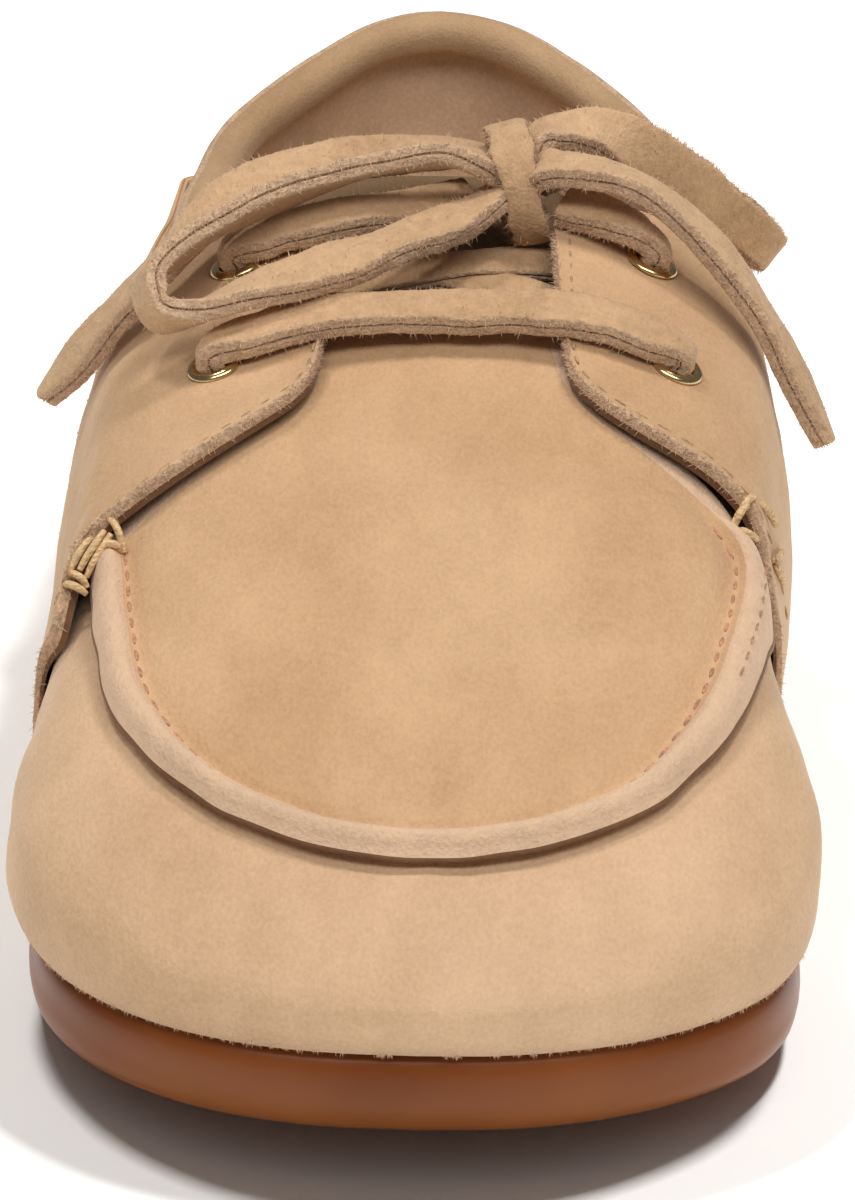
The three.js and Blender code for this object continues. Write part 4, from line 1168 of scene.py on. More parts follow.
def apron_edge(side, count):
    """Edge of the apron in plan on one side, from its tip back."""
    y = APRON_OUTLINE["at"]
    left = np.stack([APRON_CENTRE - APRON_OUTLINE["lateral"], y], -1)
    right = np.stack([APRON_CENTRE + APRON_OUTLINE["medial"], y], -1)
    far, own = (right, left) if side < 0 else (left, right)
    whole = smooth_line(np.concatenate([far[::-1], own[1:]]), OUTLINE_STEPS)
    tip = int(np.argmin(np.linalg.norm(whole - own[0], axis=1)))
    whole[tip] = own[0]
    return spaced(whole[tip:], count)


def inwards_of(line, side):
    """Directions in plan that point in from an edge on one side."""
    along = unit(np.gradient(line, axis=0))
    return np.stack([-along[:, 1], along[:, 0]], -1) * side


def make_upper(context):
    """The hollow suede wall, open at the collar, the throat and underneath."""
    lump = context.scene.shoe_sizes.lump
    rows, columns = WALL_GRID
    station = np.clip(eased(rows) * LENGTH, 0, LENGTH)
    outers, inners, faces = [], [], []
    for side in (-1.0, 1.0):
        limit = np.maximum(collar_limit(station, side), throat_limit(station, side))
        share = np.linspace(0, 1, columns)
        around = side * (limit[:, None] + (1 - limit[:, None]) * share)
        along = np.repeat(station[:, None], columns, 1)
        outers.append(form(along, around).reshape(-1, 3))
        inners.append(form(station_for(along, -WALL), around, -WALL).reshape(-1, 3))
        faces.append(grid_faces(rows, columns) + (len(faces) * rows * columns))
    faces[0] = faces[0][:, ::-1]
    (outer, inner), quads = welded([np.concatenate(outers), np.concatenate(inners)], np.concatenate(faces))
    out = unit(outer - inner)
    edges = [apron_edge(side, WALL_GROOVE["points"])[WALL_GROOVE["skip"] :] for side in (-1, 1)]
    edge = np.concatenate([above(*plan.T, GAP) for plan in edges])
    groove = WALL_GROOVE["deep"] * np.exp(-((nearest(outer, edge) / WALL_GROOVE["wide"]) ** 2))
    small = WALL_LUMPS["share"] * lump * lumps(outer, WALL_LUMPS["small"], WALL_LUMPS["layer"])
    relief = np.minimum(lump * lumps(outer, WALL_LUMPS["large"]) + small, WALL_LUMPS["most"])
    outer = outer + out * (relief - groove + creases(outer))[:, None]
    points, quads, kinds = thick_sheet(outer, inner, quads, WALL_RIM, ROLLED_RIM)
    behind = points[quads].mean(1)[:, 1] > PALE_TO
    kinds[behind & (kinds == OUTSIDE)] = SECOND
    materials = [wall_suede(context), lining(context), cut_edge(context), suede(context)]
    piece = make_piece("upper_suede", points, quads, materials, kinds)
    return settle(piece, "suede", "upper")


def creases(points):
    """Depth of the wall's soft troughs at points."""
    depth = np.zeros(len(points))
    for start, end, wide, deep in CREASES:
        a, b = np.array(start, float), np.array(end, float)
        share = np.clip((points - a) @ (b - a) / np.sum((b - a) ** 2), 0, 1)
        off = np.linalg.norm(points - (a + share[:, None] * (b - a)), axis=1)
        ends = np.sin(np.pi * (CREASE_FADE["start"] + CREASE_FADE["run"] * share))
        bank = CREASE_BANK["high"] * np.exp(-(((off - CREASE_BANK["off"] * wide) / wide) ** 2))
        depth -= deep * ends * (np.exp(-((off / wide) ** 2)) - bank)
    return depth


def lip_wide(y, side):
    """Width of the apron's lip out to its stitches."""
    share = smooth((y - LIP_WIDE["from"]) / (LIP_WIDE["to"] - LIP_WIDE["from"]))
    return LIP_WIDE["toe"] + (LIP_WIDE[side] - LIP_WIDE["toe"]) * share


def apron_grid():
    """Plan points of the apron, their depths in from its edge and how much the lip is narrowed at each."""
    near = np.array(APRON_RINGS)
    deep = np.linspace(0, 1, SPINE_RINGS + 1)[1:]
    rings = len(near) + len(deep)
    plans, depths, narrows = [], [], []
    for side in (-1, 1):
        edge = apron_edge(side, APRON_STEPS)
        narrows.append(np.repeat((LIP_WIDE["drawn"] / lip_wide(edge[:, 1], side))[:, None], rings, 1))
        inwards = inwards_of(edge, side)
        inwards[0] = (0, 1)
        wander = EDGE_WANDER["wide"] * flat_lumps(edge, EDGE_WANDER["long"], EDGE_WANDER["layer"])[:, None]
        spine_share = np.linspace(0, 1, APRON_STEPS) ** SPINE["power"]
        spine_y = SPINE["from"] + (SPINE["to"] - SPINE["from"]) * spine_share
        spine = np.stack([np.full(APRON_STEPS, APRON_CENTRE), spine_y], -1)
        sill = edge + inwards * near[-1]
        plan = [edge + inwards * (d + wander * math.exp(-d / EDGE_WANDER["reach"])) for d in near]
        plan += [sill + (spine - sill) * s for s in deep]
        room = np.linalg.norm(spine - sill, axis=1)
        depth = [np.full(APRON_STEPS, d) for d in near] + [near[-1] + room * s for s in deep]
        plans.append(np.stack(plan, 1))
        depths.append(np.stack(depth, 1))
    plan, depth, narrow = (np.concatenate(rows) for rows in (plans, depths, narrows))
    return plan.reshape(-1, 2), depth.reshape(-1), narrow.reshape(-1)


def make_apron(context):
    """The apron over the toe, with a rolled lip and a sewn groove inside it."""
    sizes = context.scene.shoe_sizes
    rings = len(APRON_RINGS) + SPINE_RINGS
    plan, depth, narrow = apron_grid()
    lip_from = LIP_END["middle"] + LIP_END["skew"] * np.clip(plan[:, 0] / LIP_END["reach"], -1, 1)
    lead = 1 - smooth((plan[:, 1] - lip_from) / LIP_END["long"])
    flat = GAP + OVERLAY - APRON_THIN
    stretch = 1 - smooth((depth - LIP_STRETCH["to"]) / LIP_STRETCH["run"])
    drawn = depth * (1 + (narrow - 1) * stretch)
    grow = flat + (column(LIP, "rise", drawn) - flat) * lead
    waves = LIP_WAVE["high"] * flat_lumps(plan, LIP_WAVE["long"], LIP_WAVE["layer"])
    hide = sizes.lump * flat_lumps(plan, APRON_LUMPS["long"], APRON_LUMPS["layer"])
    grow = grow + lead * waves * np.exp(-((depth / LIP_WAVE["reach"]) ** 2))
    grow = grow + lead * hide * smooth(depth / APRON_LUMPS["from"])
    hollow = LIP_HOLLOW["high"] * lead * (1 - smooth(depth / LIP_HOLLOW["reach"]))
    outer = above(plan[:, 0], plan[:, 1], grow)
    inner = above(plan[:, 0], plan[:, 1], GAP + UNDER_GAP + hollow)
    one = grid_faces(APRON_STEPS, rings)
    faces = np.concatenate([one[:, ::-1], one + APRON_STEPS * rings])
    (outer, inner), faces = welded([outer, inner], faces)
    points, quads, kinds = thick_sheet(outer, inner, faces, sizes.lip_bulge, ROLLED_RIM)
    ring = np.tile(np.arange(rings - 1), 2 * (APRON_STEPS - 1))
    kinds[: len(ring)][ring < RAW_RINGS] = SECOND
    # The lip's rim faces are painted shade under the lip.
    materials = [suede(context), suede(context), lip_edge(context), raw_suede(context)]
    piece = make_piece("apron_suede", points, quads, materials, kinds)
    return settle(piece, "suede", "apron")


def quarter_edge(rows, side, foot):
    """An edge of a quarter as stations and arounds, from the throat to the foot of the wall."""
    plan = np.array(rows, float)
    x = side * plan[:, 0]
    y = plan[:, 1]
    around = np.abs(around_at(x, y, GAP + OVERLAY))
    station = y - TOE_Y
    turn_station = foot + QUARTER_TURN["station"] * (station[-1] - foot)
    turn_around = QUARTER_TURN["around"] * (around[-1] + 1)
    low = np.array([[turn_station, turn_around * QUARTER_TALL], [foot, QUARTER_TALL]])
    line = np.concatenate([np.stack([station, around * QUARTER_TALL], -1), low])
    return smooth_line(line, QUARTER_GRID[0]) / np.array([1.0, QUARTER_TALL])


def quarter_frame(side):
    """Stations and arounds of a quarter's grid, a row for each step down its front and back edges."""
    front = quarter_edge(QUARTER_FRONT[side], side, QUARTER_FOOT[side][0])
    back = quarter_edge(QUARTER_BACK[side], side, QUARTER_FOOT[side][1])
    share = eased(QUARTER_GRID[1], QUARTER_CROWDING)[None, :, None]
    grid = front[:, None] + (back - front)[:, None] * share
    return grid[..., 0], side * grid[..., 1]


def make_quarter(context, side, name):
    """A quarter with its eyelet facing: suede with a raw cut edge on a dark backing that is partly painted
    shade, lying over the apron.
    """
    sizes = context.scene.shoe_sizes
    station, around = quarter_frame(side)
    rows, columns = station.shape
    curl = EDGE_CURL[side] * (1 - smooth(eased(columns, QUARTER_CROWDING) / CURL_FADE["share"]))
    top = quarter_top(around, station) + curl * curl_fade(around)
    outer = form(station, around, top).reshape(-1, 3)
    inner = form(station, around, np.maximum(GAP + UNDER_GAP, top - sizes.cut_thick)).reshape(-1, 3)
    out = unit(outer - inner)
    large = sizes.lump * lumps(outer, QUARTER_LUMPS["large"], QUARTER_LUMPS["large_layer"])
    small = sizes.lump * lumps(outer, QUARTER_LUMPS["small"], QUARTER_LUMPS["small_layer"])
    outer = outer + out * (large + QUARTER_LUMPS["share"] * small)[:, None]
    points, quads, kinds = thick_sheet(outer, inner, grid_faces(rows, columns), QUARTER_RIM, BACKED_RIM)
    band = np.sum(kinds == RIM) // (len(BACKED_RIM) + 1)
    # The backing bands and underside take the lip's dark, partly painted shade for the gap under the edge.
    kinds[-BACKING_BANDS * band :] = INSIDE
    materials = [suede(context), lip_edge(context), cut_edge(context)]
    piece = make_piece(name + "_suede", points, quads, materials, kinds, crisp=CRISP["sheet"])
    return settle(piece, "suede", name)


def collar_path(count):
    """Points of the collar line round the heel, from lateral to medial, and their outward directions."""
    half = count // 2
    station = COLLAR["from"] + (LENGTH - COLLAR["from"]) * np.sin(np.linspace(0, np.pi / 2, half))
    lateral = form(station, -collar_limit(station, -1.0))
    medial = form(station, collar_limit(station, 1.0))
    line = spaced(np.concatenate([lateral, medial[::-1][1:]]), count)
    along = np.gradient(line, axis=0)
    outwards = unit(np.stack([-along[:, 1], along[:, 0], np.zeros(count)], -1))
    away = line - np.array(COLLAR_MIDDLE)
    outwards = np.where(np.sum(outwards * away, -1, keepdims=True) < 0, -outwards, outwards)
    return line, outwards


def collar_section(roll):
    """Section of the padded collar: out from the collar line and up, with the bulge of its outside."""
    corners = (
        (-2.2, -6.2),
        (-4.0, -5.6),
        (-4.9, -3.8),
        (-4.7, -1.8),
        (-3.6, -0.5),
        (-1.8, 0.1),
        (0.1, -0.5),
        (roll * 0.9, -2.2),
        (roll * 0.95, -4.0),
        (0.4, -5.4),
        (-0.6, -6.0),
    )
    return smooth_line(corners, COLLAR["sides"], closed=True)[:-1]


def make_collar(context):
    """The padded band rolled over the collar's edge."""
    count = COLLAR["steps"]
    line, outwards = collar_path(count)
    section = collar_section(context.scene.shoe_sizes.collar_roll)
    ends = np.minimum(np.linspace(0, 1, count), np.linspace(1, 0, count))
    full = COLLAR["thin"] + (1 - COLLAR["thin"]) * smooth(ends / COLLAR["ends"])
    swell = 1 + COLLAR["swell"] * lumps(line, COLLAR["long"])
    thick = (full * swell)[:, None]
    centre = np.array(COLLAR_CENTRE)
    shape = centre + (section[None] - centre) * thick[..., None]
    rings = line[:, None] + outwards[:, None] * shape[..., :1] + np.array([0, 0, 1.0]) * shape[..., 1:]
    points, faces = closed_loft(rings)
    # The collar's suede is darkened as painted shade.
    piece = make_piece("collar_roll", points, faces, [collar_suede(context)])
    return settle(piece, "suede", "collar_band")


def closed_loft(rings):
    """Closed surface through rings of equally many points, with capped ends."""
    count, size = rings.shape[:2]
    ring = np.arange(size)
    follow = np.roll(ring, -1)
    rows = np.arange(count - 1)[:, None] * size
    quads = np.stack([rows + ring, rows + follow, rows + size + follow, rows + size + ring], -1)
    points = np.concatenate([rings.reshape(-1, 3), [rings[0].mean(0), rings[-1].mean(0)]])
    first, last = count * size, count * size + 1
    base = (count - 1) * size
    start = np.stack([follow, ring, np.full(size, first), np.full(size, first)], -1)
    end = np.stack([base + ring, base + follow, np.full(size, last), np.full(size, last)], -1)
    faces = np.concatenate([quads.reshape(-1, 4), start, end])
    if solid_volume(points, faces) < 0:
        faces = faces[:, ::-1]
    return points, faces


def solid_volume(points, faces):
    """Volume inside closed faces, negative where they face inwards."""
    a, b, c, d = (points[faces[:, k]] for k in range(4))
    return float(np.sum(a * np.cross(b, c)) + np.sum(a * np.cross(c, d))) / 6


def make_tongue(context):
    """The tongue under the lace."""
    rows, columns = TONGUE_GRID
    y = np.linspace(TONGUE["front"], TONGUE["back"], rows)[:, None]
    back = np.sqrt(1 - np.clip((y - TONGUE_ROUND["from"]) / TONGUE_ROUND["long"], 0, 1) ** 2)
    half = TONGUE["half"] * (TONGUE["narrow"] + (1 - TONGUE["narrow"]) * back)
    x = THROAT["centre"] + half * np.linspace(-1, 1, columns)
    y = np.broadcast_to(y, x.shape)
    outer = above(x, y, -WALL - GAP).reshape(-1, 3)
    inner = above(x, y, -WALL - GAP - TONGUE["thick"]).reshape(-1, 3)
    points, quads, kinds = thick_sheet(outer, inner, grid_faces(rows, columns), TONGUE["rim"], CUT_RIM)
    # The tongue's dark suede is painted shade for the shaded throat.
    materials = [tongue_suede(context), lining(context), tongue_suede(context)]
    piece = make_piece("tongue_suede", points, quads, materials, kinds, crisp=CRISP["sheet"])
    return settle(piece, "suede", "tongue")


def make_sole(context):
    """The gum sole: sprung toe, arch, low heel, a plain convex side and a plain tread."""
    colours = context.scene.shoe_colours
    station = eased(SOLE_ROWS) * LENGTH
    low, high = sole_bottom(station), sole_top(station)
    rings = []
    share, inset = SOLE_SIDE["share"], SOLE_SIDE["inset"]
    across = np.linspace(-1, 1, TREAD_COLUMNS)[1:-1]
    for side, order in ((-1.0, slice(None)), (1.0, slice(None, None, -1))):
        for s, i in zip(share[order], inset[order]):
            x, y = outline_point(station, side, 0.0, SOLE_EDGE * tuck_at(station, side) + i)
            rings.append(np.stack([x, y, low + (high - low) * s], -1))
    left, right = rings[0], rings[-1]
    tread = [left + (right - left) * (0.5 - 0.5 * a) for a in across]
    points, faces = closed_loft(np.stack(rings + tread, 1))
    gum = made_once("gum_rubber", gum_material, colours.gum_dark, colours.gum_clouds_and_reflection)
    piece = make_piece("sole_gum", points, faces, [gum], crisp=CRISP["sole"])
    return settle(piece, "gum", "outsole")


def make_insole(context):
    """The insole, a little dished, with a rounded edge."""
    station = eased(INSOLE_ROWS) * LENGTH
    base = sole_top(station) + GAP
    rings = []
    for side, order in ((-1.0, 1), (1.0, -1)):
        for inset, lift in INSOLE_SIDE[::order]:
            x, y = outline_point(station, side, 0.0, tuck_at(station, side) + WALL + INSOLE_CLEAR + inset)
            rings.append(np.stack([x, y, base + lift], -1))
    points, faces = closed_loft(np.stack(rings, 1))
    piece = make_piece("insole_lining", points, faces, [lining(context)])
    return settle(piece, "lining", "insole")


def eyelet_seat(x, y):
    """Point on a quarter's outside and its normal."""
    x, y = np.array([x]), np.array([y])
    inner = around_at(x, y, 0.0)
    grow = quarter_top(inner, y - TOE_Y)
    around = around_at(x, y, grow)
    return form(y - TOE_Y, around, grow)[0], normal_at(y - TOE_Y, around, grow)[0]


def make_eyelet(context, name):
    """A rolled brass eyelet."""
    point, up = eyelet_seat(*EYELETS[name])
    first = unit(np.cross(up, EYELET_ASIDE))
    second = np.cross(up, first)
    turn = np.linspace(0, 2 * np.pi, EYELET_SIDES, endpoint=False)
    rings = [
        point + up * high + radius * (np.cos(turn)[:, None] * first + np.sin(turn)[:, None] * second)
        for radius, high in smooth_line(EYELET_PROFILE, EYELET_STEPS)
    ]
    rings = np.stack(rings + [rings[0]], 0)
    count, size = rings.shape[:2]
    low = np.arange(count - 1) * size
    wrap = np.stack([low + size - 1, low, low + size, low + 2 * size - 1], -1)
    faces = np.concatenate([grid_faces(count, size), wrap])
    (points,), faces = welded([rings.reshape(-1, 3)], faces)
    if solid_volume(points, faces) < 0:
        faces = faces[:, ::-1]
    brass = made_once("eyelet_brass", brass_material, context.scene.shoe_colours.brass)
    return settle(make_piece(name + "_brass", points, faces, [brass]), "brass", name)


def strap_section(wide, thick):
    """Section of a strap of two layers: a groove in each cut edge, and which of its sides are cut edges."""
    w, t = wide / 2, thick / 2
    soft, groove, slit = STRAP["soft"], STRAP["groove"], STRAP["slit"]
    top = [(w - 2.2 * soft, t), (w - soft, t - 0.1), (w - 0.3 * soft, t - 0.45 * soft), (w, t - soft)]
    edge = top + [(w, slit), (w - groove, 0)] + [(a, -b) for a, b in [(w, slit)] + top[::-1]]
    face = [(w * s, -t) for s in (0.45, 0, -0.45)]
    half = edge + face
    cut = [False, False] + [True] * 6 + [False] * 6
    return np.array(half + [(-a, -b) for a, b in half]), np.array(cut + cut)


def worn_edge(section, step, seed):
    """Unevenness of a strap's cut edges at one step along it, for each point of its section."""
    worn = []
    for a, b in section:
        long = noise.noise(Vector((step * WORN["long"], math.copysign(4, a), seed)))
        short = noise.noise(Vector((step * WORN["short"], math.copysign(9, a), b * WORN["layer"] + seed)))
        worn.append(long + WORN["share"] * short)
    return np.array(worn)


def make_strap(context, name, line, across, wide, thick, seed, ragged=None, edge=cut_edge):
    """A strap along a line, with the direction of its width, its widths and its thicknesses at each point."""
    if ragged is None:
        ragged = context.scene.shoe_sizes.ragged
    tangent = unit(np.gradient(line, axis=0))
    flat = unit(across - tangent * np.sum(across * tangent, -1, keepdims=True))
    upright = np.cross(tangent, flat)
    drift = [noise.noise(Vector(p) / STRAP["twist_long"] + Vector((seed, 0, 0))) for p in line]
    twist = STRAP["twist"] * np.array(drift)[:, None]
    across = flat * np.cos(twist) + upright * np.sin(twist)
    normal = upright * np.cos(twist) - flat * np.sin(twist)
    rings = []
    for k, point in enumerate(line):
        section, cut = strap_section(wide[k], thick[k])
        off = section[:, 0]
        at_edge = np.abs(off) > STRAP["edge_from"] * wide[k] / 2
        off = off + np.sign(off) * ragged * worn_edge(section, k, seed) * at_edge
        rings.append(point + across[k] * off[:, None] + normal[k] * section[:, 1:])
    rings = np.stack(rings)
    points, faces = closed_loft(rings)
    ends = np.ones(2 * rings.shape[1], bool)
    kinds = np.concatenate([np.tile(cut, len(line) - 1), ends]).astype(int)
    return make_piece(name, points, faces, [lace_suede(context), edge(context)], kinds, crisp=CRISP["strap"])


def lifted(route, count):
    """Line over the last and direction of width along a route in plan."""
    x, y, lift = route["x"], route["y"], route["lift"]
    station = y - TOE_Y
    around = around_at(x, y, lift)
    normal = normal_at(station, around, lift)
    across = unit(np.array([0.0, 1.0, 0.0]) - normal * normal[:, 1:2])
    return led_strap(form(station, around, lift), across, count)


def into_eyelet(line, across, name, at_end):
    """A line led on into an eyelet, down through its hole."""
    point, up = eyelet_seat(*EYELETS[name])
    hole = np.array([point + up * high for high in HOLE_HEIGHTS])
    flat = np.repeat(across[-1:] if at_end else across[:1], len(hole), 0)
    if at_end:
        return np.concatenate([line[:-HOLE_POINTS], hole]), np.concatenate([across[:-HOLE_POINTS], flat])
    return np.concatenate([hole[::-1], line[HOLE_POINTS:]]), np.concatenate([flat, across[HOLE_POINTS:]])


def led_strap(line, across, count):
    """A smooth line and its width's directions at equal steps."""
    both = smooth_line(np.concatenate([line, across * ACROSS_WEIGHT], -1), count)
    return both[:, :3], both[:, 3:] / ACROSS_WEIGHT


def pinched(line, holes):
    """Widths and thicknesses of the lace along a line that narrows into eyelet holes."""
    centres = [eyelet_seat(*EYELETS[name])[0] for name in holes]
    free = smooth((nearest(line, centres) - PINCH["from"]) / PINCH["run"])
    wide = PINCH["narrow"] + (1 - PINCH["narrow"]) * free
    thick = PINCH["thick"] + (1 - PINCH["thick"]) * free
    return LACE_WIDE * wide, LACE_THICK * thick


def make_bar(context):
    """The bar of the lace over the throat, from front eyelet to front eyelet."""
    holes = ("eyelet_lateral_front", "eyelet_medial_front")
    line, across = lifted(BAR_ROUTE, BAR_STEPS[0])
    line, across = into_eyelet(line, across, holes[0], False)
    line, across = into_eyelet(line, across, holes[1], True)
    line, across = led_strap(line, across, BAR_STEPS[1])
    wide, thick = pinched(line, holes)
    bar = make_strap(context, "lace_bar_suede", line, across, wide, thick, SEEDS["bar"])
    return settle(bar, "lace", "lace_bar")


def make_stay(context, name, route):
    """The lace on one side from the back eyelet to the knot."""
    hole = "eyelet_" + name + "_back"
    line, across = lifted(route, STAY_STEPS[0])
    line, across = into_eyelet(line, across, hole, False)
    line, across = led_strap(line, across, STAY_STEPS[1])
    wide, thick = pinched(line, [hole])
    stay = make_strap(context, "lace_stay_" + name + "_suede", line, across, wide, thick, SEEDS["stay"])
    return settle(stay, "lace", "lace_stay_" + name)


def cross_strand(context, name, side):
    """One strand of the lace's crossing under the bow."""
    share = np.linspace(-1, 1, CROSS_STEPS[0])
    route = {
        "x": THROAT["centre"] + side * CROSS["half"] * share,
        "y": CROSS["front"] + (CROSS["back"] - CROSS["front"]) * (share + 1) / 2,
        "lift": CROSS["lift"] + CROSS_RISE[name] * np.cos(share * np.pi / 2),
    }
    line, across = lifted(route, CROSS_STEPS[1])
    wide = np.full(len(line), CROSS["wide"])
    thick = np.full(len(line), CROSS["thick"])
    return make_strap(context, "lace_cross_" + name + "_suede", line, across, wide, thick, SEEDS["cross"])


def make_crossing(context):
    """The two crossed strands, which stand together for the solid crossing."""
    over = cross_strand(context, "medial", 1)
    under = cross_strand(context, "lateral", -1)
    settle(over, "lace", "lace_cross")
    settle(under, "lace")


def make_bow(context):
    """The knot, the two loops and the two free ends of the lace."""
    knot = make_knot(context)
    for number, (name, route) in enumerate(BOW_ROUTES.items()):
        rows = np.stack([route[k] for k in ("x", "y", "z", "ax", "ay", "az")], -1)
        rows[:, 3:] *= ACROSS_WEIGHT
        both = smooth_line(tucked(rows, BOW_ENDS[name] == "object"), BOW_STEPS)
        line, across = both[:, :3], both[:, 3:]
        share = np.linspace(0, 1, len(line))
        bend = np.exp(-(((share - LOOP_BEND["at"]) / LOOP_BEND["spread"]) ** 2))
        wide = LACE_WIDE * (1 - LOOP_BEND["narrow"] * bend)
        if BOW_ENDS[name] == "bare":
            taper = np.sqrt(np.clip((1 - share) / END_TAPER["share"], 0, 1))
            wide = LACE_WIDE * (END_TAPER["tip"] + (1 - END_TAPER["tip"]) * taper)
        thick = np.full(len(line), LACE_THICK)
        piece = make_strap(context, name + "_suede", line, across, wide, thick, SEEDS["bow"] + number)
        settle(piece, "lace", name)


def make_knot(context):
    """The knot: a strap wrapped round the crossing of the bow, leaning a little."""
    turn = np.radians(np.linspace(KNOT_TURN["from"], KNOT_TURN["to"], KNOT_TURN["steps"]))
    tip = math.radians(KNOT["tip"])
    y = -KNOT["deep"] * np.sin(turn)
    z = KNOT["high"] * np.cos(turn)
    wander = KNOT_SWAY["wander"] * np.sin(2 * turn + KNOT_SWAY["phase"])
    line = np.stack([
        KNOT["x"] - KNOT_SWAY["lean"] * np.cos(turn) + wander,
        KNOT["y"] + y * math.cos(tip) + z * math.sin(tip),
        KNOT["z"] - y * math.sin(tip) + z * math.cos(tip),
    ], -1)
    across = np.tile(KNOT_ACROSS, (len(line), 1))
    wide = KNOT["wide"] + KNOT_SWELL["slow"] * np.sin(2 * turn) + KNOT_SWELL["quick"] * np.sin(5 * turn + 1)
    thick = np.full(len(line), LACE_THICK)
    piece = make_strap(context, "lace_knot_suede", line, across, wide, thick, SEEDS["knot"], KNOT_RAGGED)
    return settle(piece, "lace", "lace_knot")


def tucked(rows, both):
    """Rows of a bow's strand led on into the knot at its start, or at both ends."""
    centre = np.array([KNOT["x"], KNOT["y"], KNOT["z"]])
    ends = []
    for row in (rows[:1], rows[-1:]):
        inside = row.copy()
        inside[:, :3] += KNOT["tuck"] * (centre - row[:, :3])
        ends.append(inside)
    return np.concatenate([ends[0], rows, ends[1]] if both else [ends[0], rows])


def side_at(y, height, side):
    """Station and around of the last's side at a height."""
    station = y - TOE_Y

    def tall(share):
        return form(station, side * share)[..., 2] > height

    return station, side * largest_share(tall, y)


def make_thong(context, side, name):
    """The strap along the side under the collar, its ends led in through slits in the wall."""
    y = np.linspace(THONG_LINE["at"][0], THONG_LINE["at"][-1], THONG["steps"])
    station, around = side_at(y, column(THONG_LINE, "height", y), float(side))
    normal = normal_at(station, around)
    share = np.linspace(0, 1, len(y))
    ends = smooth(np.minimum(share, 1 - share) / THONG["ends"])
    rise = GAP + THONG["clear"] + THONG["thick"] / 2 + THONG["sunk"]
    line = form(station, around) + normal * (rise * ends - THONG["sunk"])[:, None]
    across = np.stack([-normal[:, 2] * side, np.zeros(len(y)), np.abs(normal[:, 0])], -1)
    wide = np.full(len(y), THONG["wide"])
    thick = np.full(len(y), THONG["thick"])
    piece = make_strap(
        context, name + "_suede", line, across, wide, thick, SEEDS["thong"], THONG["ragged"], edge=suede
    )
    return settle(piece, "lace", name)


# Sewing and nap


def turned(tangent, normal):
    """Euler turns that point X along tangents and Z along normals."""
    across = unit(np.cross(normal, tangent))
    up = np.cross(tangent, across)
    axes = np.stack([tangent, across, up], -1)
    return np.array([Matrix(a.tolist()).to_euler() for a in axes])


def stitch_tree(name, thread):
    """Node tree that sets a stitch on each point, turned by the point's attribute."""
    tree = bpy.data.node_groups.new(name, "GeometryNodeTree")
    tree.interface.new_socket("Geometry", in_out="INPUT", socket_type="NodeSocketGeometry")
    size = tree.interface.new_socket("Stitch size", in_out="INPUT", socket_type="NodeSocketVector")
    tree.interface.new_socket("Geometry", in_out="OUTPUT", socket_type="NodeSocketGeometry")
    nodes, links = tree.nodes, tree.links
    entry = nodes.new("NodeGroupInput")
    leave = nodes.new("NodeGroupOutput")
    bead = nodes.new("GeometryNodeMeshUVSphere")
    set_sockets(bead, STITCH_BEAD)
    shaped = nodes.new("GeometryNodeTransform")
    turn = nodes.new("GeometryNodeInputNamedAttribute")
    turn.data_type = "FLOAT_VECTOR"
    turn.inputs["Name"].default_value = "turn"
    rotation = nodes.new("FunctionNodeEulerToRotation")
    instances = nodes.new("GeometryNodeInstanceOnPoints")
    realized = nodes.new("GeometryNodeRealizeInstances")
    finish = nodes.new("GeometryNodeSetMaterial")
    finish.inputs["Material"].default_value = thread
    links.new(bead.outputs["Mesh"], shaped.inputs["Geometry"])
    links.new(entry.outputs["Stitch size"], shaped.inputs["Scale"])
    links.new(turn.outputs["Attribute"], rotation.inputs["Euler"])
    links.new(entry.outputs["Geometry"], instances.inputs["Points"])
    links.new(shaped.outputs["Geometry"], instances.inputs["Instance"])
    links.new(rotation.outputs["Rotation"], instances.inputs["Rotation"])
    links.new(instances.outputs["Instances"], realized.inputs["Geometry"])
    links.new(realized.outputs["Geometry"], finish.inputs["Geometry"])
    links.new(finish.outputs["Geometry"], leave.inputs["Geometry"])
    return tree, size.identifier


def make_stitches(context, name, line, normals, size, thread):
    """A row of stitches along a line on a surface, as one plain mesh."""
    pitch = context.scene.shoe_sizes.stitch_pitch / MM
    count = max(2, int(line_length(line) / pitch))
    both = spaced(np.concatenate([line, normals * NORMAL_WEIGHT], -1), 2 * count + 1)
    middles = both[1::2, :3]
    tangents = unit(both[2::2, :3] - both[0:-2:2, :3])
    mesh = bpy.data.meshes.new(name)
    mesh.from_pydata((middles * MM).tolist(), [], [])
    turns = mesh.attributes.new("turn", "FLOAT_VECTOR", "POINT")
    turns.data.foreach_set("vector", turned(tangents, unit(both[1::2, 3:])).ravel())
    piece = bpy.data.objects.new(name, mesh)
    context.scene.collection.objects.link(piece)
    tree, socket = stitch_tree(name + "_nodes", thread)
    modifier = piece.modifiers.new("stitches", "NODES")
    modifier.node_group = tree
    modifier[socket] = tuple(v * MM for v in size)
    piece.data = bpy.data.meshes.new_from_object(piece.evaluated_get(context.evaluated_depsgraph_get()))
    piece.modifiers.clear()
    piece.data.polygons.foreach_set("use_smooth", [True] * len(piece.data.polygons))
    return settle(piece, "thread")


def apron_stitch_line(row, side, stop, count=240):
    """A line along the apron's lip on one side, from the tip back to a stop, and its normals."""
    edge = apron_edge(side, count)
    plan = edge + inwards_of(edge, side) * (row["share"] * lip_wide(edge[:, 1], side))[:, None]
    plan = plan[plan[:, 1] < stop]
    around = around_at(plan[:, 0], plan[:, 1], row["rise"])
    station = plan[:, 1] - TOE_Y
    return form(station, around, row["rise"]), normal_at(station, around, row["rise"])


